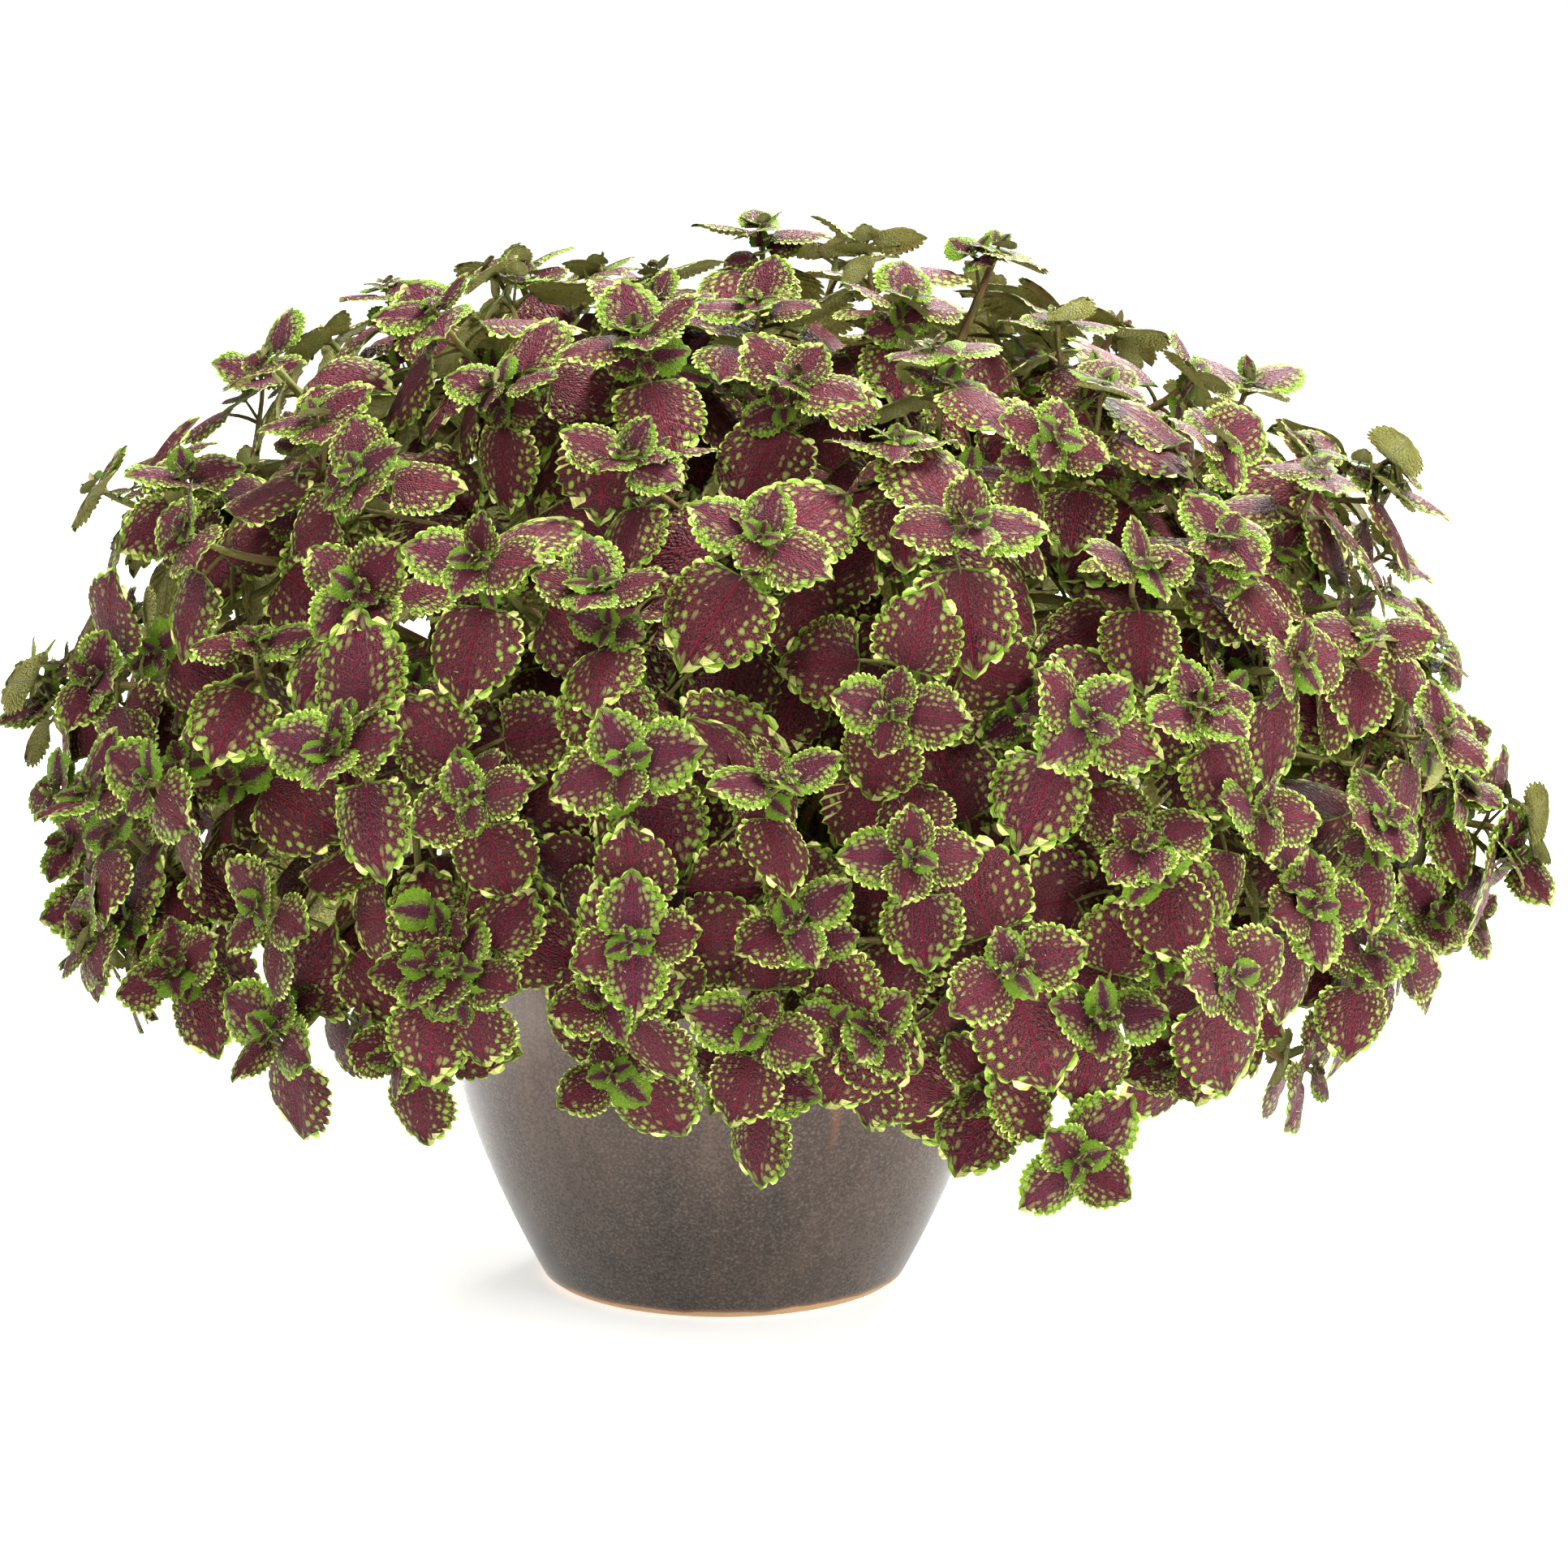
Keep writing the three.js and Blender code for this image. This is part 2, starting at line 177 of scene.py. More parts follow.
def new_material(name, constants):
    """A material, the start of its shades, and its main shader, with sockets that are the same all over."""
    made = bpy.data.materials.new(name)
    made.use_nodes = True
    surface = made.node_tree.nodes["Principled BSDF"]
    for key, value in constants.items():
        surface.inputs[key].default_value = value
    return made, Shade(made.node_tree), surface


def feed(surface, **shades):
    for key, shade in shades.items():
        shade.tree.links.new(shade.socket, surface.inputs[key.replace("_", " ")])


glaze, shade, surface = new_material("pot_glaze", {"Coat Roughness": 0.25, "Specular IOR Level": 0.35})
place = shade.node("TexCoord", output="Object")
height = shade.node("SeparateXYZ", None, {0: place}, "Z")
drawn_out = shade.node("Mapping", None, {"Vector": place, "Scale": (1, 1, 0.09)})
streaks = shade.noise(drawn_out, 95, 4, 0.65)
runs = shade.noise(drawn_out, 24, 2)
cloud = shade.noise(place, 14, 4, 0.6)
grain = shade.noise(place, 620, 2)
# The glaze's tone: its streaks, runs and clouds, with painted light and shade that make it lighter towards
# the rim and darker towards the foot, as lamps above would.
glaze_tone_and_painted_light = height.step(0.02, 0.26) * 0.42 + streaks * 0.62 + runs * 0.35 + cloud * 0.5 - 0.62
TONES = [(0.0, (44, 33, 27)), (0.35, (74, 57, 47)), (0.62, (104, 82, 67)), (1.0, (150, 119, 95))]
colour = shade.node("ValToRGB", {"stops": [(share, tint(*tone)) for share, tone in TONES]}, {0: glaze_tone_and_painted_light})
flecks = shade.noise(place, 260, 3, 0.7).step(0.62, 0.70) * 0.55
colour = flecks.mix(colour, tint(50, 44, 42))
colour = (grain.step(0.35, 0.75) * 0.16).mix(colour, tint(176, 164, 152))
around = shade.maths("ARCTAN2", *(shade.node("SeparateXYZ", None, {0: place}, k) for k in "YX"))
rust = shade.maths("ABSOLUTE", around - RUST_AZIMUTH + (runs - 0.5) * 0.05).step(0.03, 0.006)
rust = rust * height.step(0.098, 0.12) * height.step(0.175, 0.15) * streaks.step(0.3, 0.6) * 0.45
colour = rust.mix(colour, tint(150, 92, 58))
line = GLAZE_STOPS + (shade.noise(place, 30, 2) - 0.5) * 0.006
bare = (height - line).step(0.0005, -0.0005)
clay = grain.mix(tint(176, 140, 104), tint(206, 172, 130))
melt = (height - line).step(0.0022, 0.0008) * 0.7
colour = melt.mix(colour, tint(120, 80, 52))
feed(surface, Base_Color=bare.mix(colour, clay))
feed(surface, Roughness=bare * 0.5 + 0.26 + (cloud - 0.5) * 0.18 + (grain - 0.5) * 0.12)
feed(surface, Coat_Weight=(1 - bare) * 0.1)
relief = streaks * 0.35 + cloud * 0.6 + grain * 0.12 + (1 - bare) * 0.8
feed(surface, Normal=shade.node("Bump", None, {"Strength": 0.35, "Distance": 0.0007, "Height": relief}))

lip, floor_r = WALL / 2, FOOT_R - WALL
profile = [(0, 0), (FOOT_R * 0.5, 0)]
profile += [(FOOT_R - inwards, z) for inwards, z in ((0.004, 0), (0.0018, 0.0004), (0.0004, 0.0014))]
profile += [(pot_radius(z), z) for z in np.linspace(0.003, RIM_Z - lip, 56)]
lip_turns = np.radians([30, 60, 90, 120, 150])
profile += [(RIM_R - lip + lip * math.cos(a), RIM_Z - lip + lip * math.sin(a)) for a in lip_turns]
profile += [(pot_radius(z) - WALL, z) for z in np.linspace(RIM_Z - lip, FLOOR_T + 0.012, 20)]
profile += [(floor_r - 0.006, FLOOR_T + 0.003), (floor_r - 0.014, FLOOR_T), (0.045, FLOOR_T), (0, FLOOR_T)]


def throwing(a, z):
    """How the wall strays from round: a slow wave, and the faint rings of the maker's fingers."""
    slow = 0.0011 * math.sin(2 * a + 1.1) + 0.0007 * math.sin(3 * a + 9 * z)
    return (slow + 0.0005 * math.sin(z * 620 + 0.7 * math.sin(a))) * min(1, z / 0.03)


pot = thrown("planter", profile, POT_AROUND, throwing, glaze)
drills = []
turns = np.linspace(0, 2 * math.pi, DRAIN_SIDES, endpoint=False)
for n, a in enumerate(np.radians([30, 150, 270])):
    x, y = DRAIN_RING * math.cos(a), DRAIN_RING * math.sin(a)
    points = [(x + DRAIN_R * math.cos(t), y + DRAIN_R * math.sin(t), z)
              for z in (-0.01, FLOOR_T + 0.01) for t in turns]
    faces = [tuple(reversed(range(DRAIN_SIDES))), tuple(range(DRAIN_SIDES, 2 * DRAIN_SIDES))]
    for k in range(DRAIN_SIDES):
        beside = (k + 1) % DRAIN_SIDES
        faces.append((k, beside, DRAIN_SIDES + beside, DRAIN_SIDES + k))
    drills.append(plain_object(f"drill_{n}", points, faces))
    cut = pot.modifiers.new("drain", "BOOLEAN")
    cut.operation, cut.solver, cut.object = "DIFFERENCE", "EXACT", drills[n]
pot = settled(pot)
for drill in drills:
    bpy.data.objects.remove(drill)
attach(pot, "root")
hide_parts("pot")

# The potting mix: dark peat and composted bark, firmed a finger's width below the rim, with
# loose crumbs, bark chips and a few grains of perlite on its surface.
SOIL_Z, SOIL_DOME, SOIL_DOME_R, SOIL_SHRINK = 0.238, 0.006, 0.14, 0.0018
peat, shade, surface = new_material("peat", {"Specular IOR Level": 0.25})
place = shade.node("TexCoord", output="Object")
damp = shade.noise(place, 60, 3)
crumb = shade.noise(place, 420, 3, 0.7)
feed(surface, Base_Color=(damp * 0.5 + crumb * 0.6 - 0.1).mix(tint(26, 18, 13), tint(84, 62, 46)))
feed(surface, Roughness=0.8 + damp * 0.2)
feed(surface, Normal=shade.node("Bump", None, {"Strength": 0.8, "Distance": 0.0012, "Height": crumb}))
perlite, shade, surface = new_material("perlite", {"Roughness": 0.9})
pores = shade.noise(shade.node("TexCoord", output="Object"), 900, 2)
feed(surface, Base_Color=pores.mix(tint(176, 170, 158), tint(222, 218, 208)))


def tree_of(name, inputs):
    """An empty geometry tree: the tree, its named inputs, and where its result goes."""
    tree = bpy.data.node_groups.new(name, "GeometryNodeTree")
    for label, kind in {"Geometry": "Geometry", **inputs}.items():
        tree.interface.new_socket(label, in_out="INPUT", socket_type="NodeSocket" + kind)
    tree.interface.new_socket("Geometry", in_out="OUTPUT", socket_type="NodeSocketGeometry")
    return tree, tree.nodes.new("NodeGroupInput").outputs, tree.nodes.new("NodeGroupOutput").inputs[0]


def step_in(tree, kind, settings=None, output=0, **sockets):
    """Adds a node, as its output; a socket's value is a number or another node's output."""
    made = tree.nodes.new(kind if "Node" in kind else "GeometryNode" + kind)
    for key, value in (settings or {}).items():
        setattr(made, key, value)
    for key, value in sockets.items():
        wanted = next(s for s in made.inputs if s.name.replace(" ", "_") == key and s.enabled)
        if isinstance(value, bpy.types.NodeSocket):
            tree.links.new(value, wanted)
        else:
            wanted.default_value = value
    return made.outputs[output]


def drawn(tree, low, high, seed):
    """A random value for each point: a number, or a vector where its limits are vectors."""
    form, output = ("FLOAT_VECTOR", 0) if isinstance(high, tuple) else ("FLOAT", 1)
    sockets = {"Min": low, "Max": high, "Seed": seed}
    return step_in(tree, "FunctionNodeRandomValue", {"data_type": form}, output, **sockets)


def times(tree, one, other):
    made = tree.nodes.new("ShaderNodeMath")
    made.operation = "MULTIPLY"
    tree.links.new(one, made.inputs[0])
    tree.links.new(other, made.inputs[1])
    return made.outputs[0]


def joined(tree, one, other):
    made = tree.nodes.new("GeometryNodeJoinGeometry")
    tree.links.new(one, made.inputs[0])
    tree.links.new(other, made.inputs[0])
    return made.outputs[0]


def use_tree(piece, tree, values):
    """Puts a geometry tree on a piece, with its named inputs set."""
    modifier = piece.modifiers.new(tree.name, "NODES")
    modifier.node_group = tree
    for item in tree.interface.items_tree:
        if item.item_type == "SOCKET" and item.in_out == "INPUT" and item.name in values:
            modifier[item.identifier] = values[item.name]
    return settled(piece)


def soil_height(x, y):
    rise = SOIL_DOME * max(0, 1 - (math.hypot(x, y) / SOIL_DOME_R) ** 2)
    lumps = noise.noise(Vector((x, y, 0)) * 55) * 0.0022 + noise.noise(Vector((x, y, 1)) * 170) * 0.0011
    return SOIL_Z + rise + lumps - 0.001


rim = pot_radius(SOIL_Z) - WALL - SOIL_SHRINK
profile = [(0, FLOOR_T + 0.0004), (FOOT_R - WALL - 0.012, FLOOR_T + 0.0004)]
profile += [(pot_radius(z) - WALL - SOIL_SHRINK, z) for z in (0.025, 0.056, 0.112, 0.19, 0.236)]
profile += [(rim * share, SOIL_Z) for share in np.linspace(0.97, 0.03, 30)] + [(0, SOIL_Z)]
soil = thrown("potting_mix", profile, 96, lambda a, z: 0.0, peat)
for corner in soil.data.vertices:
    if corner.co.z > SOIL_Z - 0.0005:
        corner.co.z = soil_height(corner.co.x, corner.co.y)
ABOVE = {"data_type": "FLOAT", "operation": "GREATER_THAN"}
tree, given, result = tree_of("crumbs_on_soil", {
    "Crumb": "Object", "Per Metre": "Float", "Size": "Float", "Skin": "Material", "Seed": "Int"})
high = step_in(tree, "ShaderNodeSeparateXYZ", None, "Z", Vector=step_in(tree, "InputPosition"))
top = step_in(tree, "FunctionNodeCompare", ABOVE, A=high, B=SOIL_Z - 0.003)
spread = step_in(tree, "DistributePointsOnFaces", Mesh=given["Geometry"], Selection=top,
                 Density=given["Per Metre"], Seed=given["Seed"])
lying = drawn(tree, (0, 0, 0), (6.28, 6.28, 6.28), 3)
crumbs = step_in(tree, "InstanceOnPoints", Points=spread, Rotation=lying,
                 Instance=step_in(tree, "ObjectInfo", None, "Geometry", Object=given["Crumb"]),
                 Scale=times(tree, drawn(tree, 0.45, 1.4, 5), given["Size"]))
crumbs = step_in(tree, "RealizeInstances", Geometry=crumbs)
crumbs = step_in(tree, "SetMaterial", Geometry=crumbs, Material=given["Skin"])
tree.links.new(joined(tree, given["Geometry"], crumbs), result)
# Crumbs, bark chips and perlite: their stretch, number on a square metre, size and skin.
LOOSE = [((1, 0.8, 0.7), 16000, 0.0016, peat), ((2.6, 1.0, 0.35), 2600, 0.0026, peat),
         ((1, 0.9, 0.8), 900, 0.0014, perlite)]
OCTAHEDRON = [(1, 0, 0), (0, 1, 0), (-1, 0, 0), (0, -1, 0), (0, 0, 1), (0, 0, -1)]
sides = [(n, (n + 1) % 4, 4) for n in range(4)] + [((n + 1) % 4, n, 5) for n in range(4)]
for n, (stretch, per_metre, size, skin) in enumerate(LOOSE):
    crumb = plain_object(f"crumb_{n}", [np.multiply(p, stretch) for p in OCTAHEDRON], sides)
    values = {"Crumb": crumb, "Per Metre": per_metre, "Size": size, "Skin": skin, "Seed": n}
    soil = use_tree(soil, tree, values)
    bpy.data.objects.remove(crumb)
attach(soil, "root")
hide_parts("soil")

# The leaf blades: soft, quilted and hairy, toothed all round and pointed. They are maroon, spotted
# and edged with lime, and olive below; young ones are mostly lime. Their drawing is laid out on a
# sheet of nine squares, which all stems share: seven ages of leaf, stem skin, underside.
SHEET, SHEET_EDGE, STEM_SQUARE, UNDER_SQUARE = 3, 0.02, 7, 8
SHOULDER, LAST_TOOTH, WIDEST, TEETH = 0.14, 0.93, 0.34, 8
MAROONS = [(0.0, (96, 24, 84)), (0.3, (120, 22, 54)), (0.6, (120, 18, 34)), (1.0, (102, 22, 22))]
# Rings of spots: how far out, their size, how readily they show, and their colour.
SPOTS = [(0.79, 0.026, -0.8, (144, 170, 72)), (0.6, 0.024, -0.45, (142, 158, 76)),
         (0.38, 0.02, -0.05, (144, 132, 82))]


def leaf_material(name, variety):
    made, shade, surface = new_material(name, {"Specular IOR Level": 0.13})
    sheet = shade.node("UVMap", {"uv_map": "OFBake"})
    across, along = (shade.node("SeparateXYZ", None, {0: sheet}, k) * SHEET for k in "XY")
    column, row = (shade.maths("FLOOR", k) for k in (across, along))
    square = column + row * SHEET
    across, along = ((at - cell - SHEET_EDGE) / (1 - 2 * SHEET_EDGE)
                     for at, cell in ((across, column), (along, row)))
    hand = across.step(0.49, 0.51)
    out = shade.maths("ABSOLUTE", across * 2 - 1)
    age = shade.maths("MINIMUM", square / 6, 1.0)
    young = (1 - age) * (1 - age) * (1 - age)

    # How wide the half blade is here and how far off its edge is, as shares of the blade's length;
    # then a place of the leaf's own for its noises.
    off_middle = (along - 0.5) / 0.55
    reach = (1 - off_middle * off_middle) * 0.5
    edge = (1 - out) * reach
    teeth = (along - SHOULDER) * (TEETH / (LAST_TOOTH - SHOULDER))
    notch = shade.maths("ABSOLUTE", shade.maths("FRACT", teeth + 10) * 2 - 1)
    own_place = {0: teeth + square * 17.3 + variety * 5.1, 1: out * 5.4 + hand * 31}
    real = shade.node("CombineXYZ", None, own_place)
    blur = shade.noise(real, 0.9, 1, room="2D") - 0.5
    rough = shade.noise(real, 3.2, 2, 0.65, room="2D") - 0.5
    fine = shade.noise(real, 5.5, 2, 0.65, room="2D")
    cells = {"feature": "F1", "voronoi_dimensions": "2D"}
    quilt = shade.node("TexVoronoi", cells, {"Vector": real, "Scale": 2.6, "Randomness": 0.9}, "Distance")

    # Maroon ground: redder with age; darker in the net between the quilted bulges, partly the veins' own
    # colour and partly painted shade in the hollows; and darker beside the side veins, a painted shade in
    # the valleys there.
    stops = [(share, tint(r, g * (1 + 0.1 * variety), b * (1.12 - 0.12 * variety)))
             for share, (r, g, b) in MAROONS]
    maroon = shade.node("ValToRGB", {"stops": stops}, {0: age})
    maroon = (fine.step(0.4, 0.55) * 0.92).mix(maroon, tint(22, 6, 8))
    # Partly the net of veins' own dark colour, partly painted shade in the hollows between the quilted
    # bulges.
    maroon = (quilt.step(0.2, 0.44) * 0.85).mix(maroon, tint(28, 8, 11))
    # Painted shade in the valleys beside the side veins.
    maroon = (notch.step(0.55, 0.14) * out.step(0.1, 0.3) * 0.6).mix(maroon, tint(36, 12, 14))
    # Pale specks: the pale hairs' own colour, with a painted sheen where they catch the light.
    hair_specks_and_sheen = shade.noise(real, 15, 1, 0.7, room="2D").step(0.54, 0.68)
    maroon = (hair_specks_and_sheen * 0.6).mix(maroon, tint(180, 106, 110))
    vein = notch.step(0.12, 0.04) * out.step(0.92, 0.25) * along.step(0.1, 0.16)
    rib = (out * reach).step(0.013, 0.005)
    veins = shade.maths("MAXIMUM", vein * 0.38, rib * 0.75)
    red = along.step(0.3, 0.02).mix(tint(176, 32, 76), tint(212, 136, 130))
    face = veins.mix(maroon, red)

    # Lime spots in rings between the side veins, fewer and pinker inwards, and a lime edge.
    slot_of = shade.maths("ROUND", teeth)
    steep = out * 0.075 + 0.02 + along * along * along * 0.05
    for ring, (middle, wide, least, pale) in enumerate(SPOTS):
        lot_of = {0: slot_of + variety * 53, 1: square * 7 + ring * 29, 2: hand}
        seed = shade.node("CombineXYZ", None, lot_of)
        lots = shade.node("TexWhiteNoise", {"noise_dimensions": "3D"}, {"Vector": seed}, "Color")
        here, there, grown = (shade.node("SeparateColor", None, {0: lots}, k) for k in range(3))
        sideways = (teeth - slot_of - (here - 0.5) * 0.56) * steep
        inwards = (out - middle - (there - 0.5) * 0.13) * reach
        size = (grown * 0.8 + 0.5) * wide * (1 + young * 0.9)
        size = size * (here + there - age * 0.7 - least + young).step(0.2, 0.45)
        from_spot = shade.maths("SQRT", sideways * sideways + inwards * inwards) + rough * 0.02
        spot = (from_spot / (size + 0.0001)).step(1.15, 0.45) * along.step(0.1, 0.16)
        face = (spot * (0.95 - 0.15 * ring)).mix(face, tint(*pale))
    lime = (blur + 0.5).mix(tint(92, 134, 22), tint(140, 174, 46))
    lime = (fine.step(0.4, 0.7) * 0.4).mix(lime, tint(70, 122, 20))
    wide = 0.019 + young * young * 0.04 + young * 0.02
    band = (edge + blur * 0.018 + rough * 0.022).step(wide + 0.007, wide - 0.007)
    ends = (along + blur * 0.05).step(0.19 - age * 0.06, 0.14 - age * 0.06) * out.step(0.1, 0.3)
    ends = shade.maths("MAXIMUM", ends, (along + rough * 0.05).step(0.965, 0.985))
    fuzz = (out * 0.9 + rough * 1.2 + fine * 0.5 - 1.1 + young * young * 0.5).step(0, 0.1)
    fuzz = fuzz * young.step(0.02, 0.1)
    ends = shade.maths("MAXIMUM", ends, fuzz * 0.9)
    face = shade.maths("MAXIMUM", band, ends).mix(face, lime)
    face = ((edge + rough * 0.006).step(0.010, 0.005) * 0.6).mix(face, tint(190, 212, 106))
    face = (rib * along.step(0.16, 0.02)).mix(face, tint(196, 188, 118))

    # Below, olive green with paler veins, painted paler and brighter than the blade's own colour: a painted
    # light that stands in for light shining through the thin blade; and the skin of stems and stalks.
    under = (blur + 0.5).mix(tint(222, 222, 116), tint(246, 242, 168))
    under = (out.step(0.25, 0.6) * edge.step(0.03, 0.08) * 0.3).mix(under, tint(152, 112, 78))
    # Darker in the net between the bulges below: partly the net's own colour, partly painted shade in the
    # hollows.
    under = (quilt.step(0.25, 0.5) * 0.45).mix(under, tint(164, 170, 78))
    under = shade.maths("MAXIMUM", vein, (out * reach).step(0.03, 0.012)).mix(under, tint(240, 238, 184))
    is_under = square.step(7.4, 7.6)
    face = is_under.mix(face, under)
    bark = along.mix(tint(132, 118, 66), tint(152, 166, 80))
    flush = shade.noise(shade.node("CombineXYZ", None, {0: across * 2, 1: along * 7, 2: variety}), 1.4, 2)
    bark = flush.step(0.45, 0.68).mix(bark, tint(172, 120, 92))
    bark = (fine.step(0.4, 0.7) * 0.25).mix(bark, tint(96, 96, 48))
    is_stem = square.step(6.4, 6.6) * (1 - is_under)
    feed(surface, Base_Color=is_stem.mix(face, bark))
    feed(surface, Roughness=0.52 + rough * 0.2 + fine * 0.1)
    relief = (1 - quilt) * 0.8 + fine * 0.3 + (1 - veins) * 0.8
    feed(surface, Normal=shade.node("Bump", None, {"Strength": 1.0, "Distance": 0.002, "Height": relief}))
    return made


leaf_skins = [leaf_material(f"leaf_{name}", n) for n, name in enumerate(("purple", "maroon", "russet"))]


def edge_point(s, grow):
    """A point of half a blade's edge, as shares of its length along and across, s from base to tip."""
    along = s ** 1.5
    off = (along - WIDEST) / (1 - WIDEST if along > WIDEST else WIDEST)
    across = 0.5 * (1 - abs(off) ** 2.2) ** (0.9 if off > 0 else 0.4)
    ear = 0.07 * math.sin(math.pi * min(1, s / 0.45)) ** 2
    return 0.36 + (along - ear - 0.36) * (1 + grow), across * (1 + grow)


def edge_rows(teeth, cuts):
    """The corners of half a blade's edge: (s, growth, whether a row of the mesh ends there)."""
    rows = [(SHOULDER / 2, -0.015, True), (SHOULDER * 0.82, -0.015, False)]
    for tooth in range(teeth):
        for cut, grown in cuts.items():
            rows.append((SHOULDER + (LAST_TOOTH - SHOULDER) * (tooth + cut) / teeth, grown, cut == 0))
    point = [(LAST_TOOTH + 0.03, 0.01, False), (LAST_TOOTH + 0.055, 0.01, False)]
    return rows + [(LAST_TOOTH, -0.075, True)] + point


def leaf_pattern(name, square, bend, teeth, cuts, over, long, wide, downy):
    """One blade, 1 long, base at the origin, tip along X, top to +Z: a thin closed skin."""
    curl, fold, wave = bend
    points, faces, places = [], [], []

    def add(u, v, out, side=0):
        arch = 0.1 * u - (0.26 + curl) * u * u + (0.1 + fold) * abs(v) - 0.62 * v * v
        rise = arch - 0.014 * math.exp(-((out / 0.1) ** 2)) + wave * out * out * math.sin(9 * u + 2 * v)
        points.append((u, v, rise - side))
        return len(points) - 1

    rows = edge_rows(teeth, cuts)
    brim = [1 - 0.4 * (max(cuts.values()) - grown) for s, grown, major in rows]
    base, tip = add(0, 0, 0), add(1.015 * long, 0, 0)
    edge = {hand: [add(*np.multiply(edge_point(s, grown), (long, hand * wide)), 1)
                   for s, grown, major in rows] for hand in (1, -1)}
    majors = [n for n, row in enumerate(rows) if row[2]]
    # The upper skin, then the lower one: lines of points run from the rib to the edge, and between
    # two lines lie strips of faces, of which the outermost also take in the corners of a tooth.
    for side, shares in ((1, over), (-1, (0, 1))):
        rib = {}
        for hand in (1, -1):
            lines = []
            for n in majors:
                s = rows[n][0]
                u, v = points[edge[hand][n]][:2]
                middle = max(0.004, s ** 1.5 * (0.25 + 0.75 * s * s) * long)
                line = []
                for out in shares[:-1]:
                    if out == 0 and hand < 0:
                        line.append(rib[n])
                        continue
                    x = middle + (u - middle) * out + 0.03 * math.sin(math.pi * out) * s
                    thick = 0 if side > 0 else 0.012 * (1 - out ** 3) + (0.016 * (1 - s) if out == 0 else 0)
                    line.append(add(x, v * out, out, thick))
                    if out == 0:
                        rib[n] = line[0]
                lines.append(line + [edge[hand][n]])
            s_of = [rows[n][0] for n in majors]
            for j in range(len(shares) - 1):
                a, b = shares[j], shares[j + 1]
                outer = [brim[n] if b == 1 else b for n in majors]
                found = [([base, lines[0][j], lines[0][j + 1]],
                          [((a + b) / 2, 0), (a, s_of[0]), (outer[0], s_of[0])])]
                for n in range(len(lines) - 1):
                    between = range(majors[n + 1] - 1, majors[n], -1) if b == 1 else ()
                    face = [lines[n][j], lines[n + 1][j], lines[n + 1][j + 1]]
                    at = [(a, s_of[n]), (a, s_of[n + 1]), (outer[n + 1], s_of[n + 1])]
                    face += [edge[hand][k] for k in between] + [lines[n][j + 1]]
                    at += [(brim[k], rows[k][0]) for k in between] + [(outer[n], s_of[n])]
                    found.append((face, at))
                beyond = range(len(rows) - 1, majors[-1], -1) if b == 1 else ()
                face = [lines[-1][j], tip] + [edge[hand][k] for k in beyond] + [lines[-1][j + 1]]
                at = [(a, s_of[-1]), ((a + b) / 2, 1)] + [(brim[k], rows[k][0]) for k in beyond]
                found.append((face, at + [(outer[-1], s_of[-1])]))
                cell = square if side > 0 else UNDER_SQUARE
                turn = 1 if side * hand > 0 else -1
                for face, at in found:
                    faces.append(tuple(face[::turn]))
                    places += [(0.5 + 0.5 * hand * out, along, cell) for out, along in at[::turn]]
    made = plain_object(name, points, faces)
    layer = made.data.uv_layers.new(name="OFBake")
    flat = []
    for across, along, cell in places:
        inside = [SHEET_EDGE + (1 - 2 * SHEET_EDGE) * k for k in (across, along)]
        flat += [(cell % SHEET + inside[0]) / SHEET, (cell // SHEET + inside[1]) / SHEET]
    layer.data.foreach_set("uv", flat)
    rim_of = {base, tip, *edge[1], *edge[-1]}
    made.data.attributes.new("sharp_edge", "BOOLEAN", "EDGE").data.foreach_set(
        "value", [set(line.vertices) <= rim_of for line in made.data.edges])
    made.data.attributes.new("downy", "FLOAT", "POINT").data.foreach_set("value", [downy] * len(points))
    return made


blades = bpy.data.collections.new("blades")
bpy.context.scene.collection.children.link(blades)
blade_of = {}
ROUND = {0: -0.065, 0.19: 0.025, 0.5: 0.054, 0.81: 0.031}
BLUNT = {0: -0.06, 0.3: 0.035, 0.7: 0.04}
PLAIN = {0: -0.05, 0.5: 0.045}
# Each kind of blade: its youngest and oldest age, and its form.
KINDS = {
    "full": (2, 6, dict(teeth=TEETH, cuts=ROUND, over=(0, 0.5, 1), long=0.95, wide=0.94, downy=0.12)),
    "young": (1, 4, dict(teeth=TEETH, cuts=BLUNT, over=(0, 0.5, 1), long=0.9, wide=0.96, downy=0.5)),
    "small": (0, 2, dict(teeth=6, cuts=PLAIN, over=(0, 0.55, 1), long=0.9, wide=1.0, downy=1.0)),
    "tiny": (0, 1, dict(teeth=4, cuts=PLAIN, over=(0, 1), long=0.9, wide=1.0, downy=1.0)),
    "deep": (4, 6, dict(teeth=TEETH, cuts=PLAIN, over=(0, 1), long=0.95, wide=0.94, downy=0.0)),
}
BENDS = [(0.0, 0.0, 0.012), (0.05, -0.03, 0.022), (-0.05, 0.05, -0.018)]
for kind, (youngest, oldest, form) in KINDS.items():
    for age in range(youngest, oldest + 1):
        for n, bend in enumerate(BENDS):
            made = leaf_pattern(f"blade_{len(blade_of):03d}", age, bend, **form)
            bpy.context.scene.collection.objects.unlink(made)
            blades.objects.link(made)
            blade_of[kind, age, n] = len(blade_of)

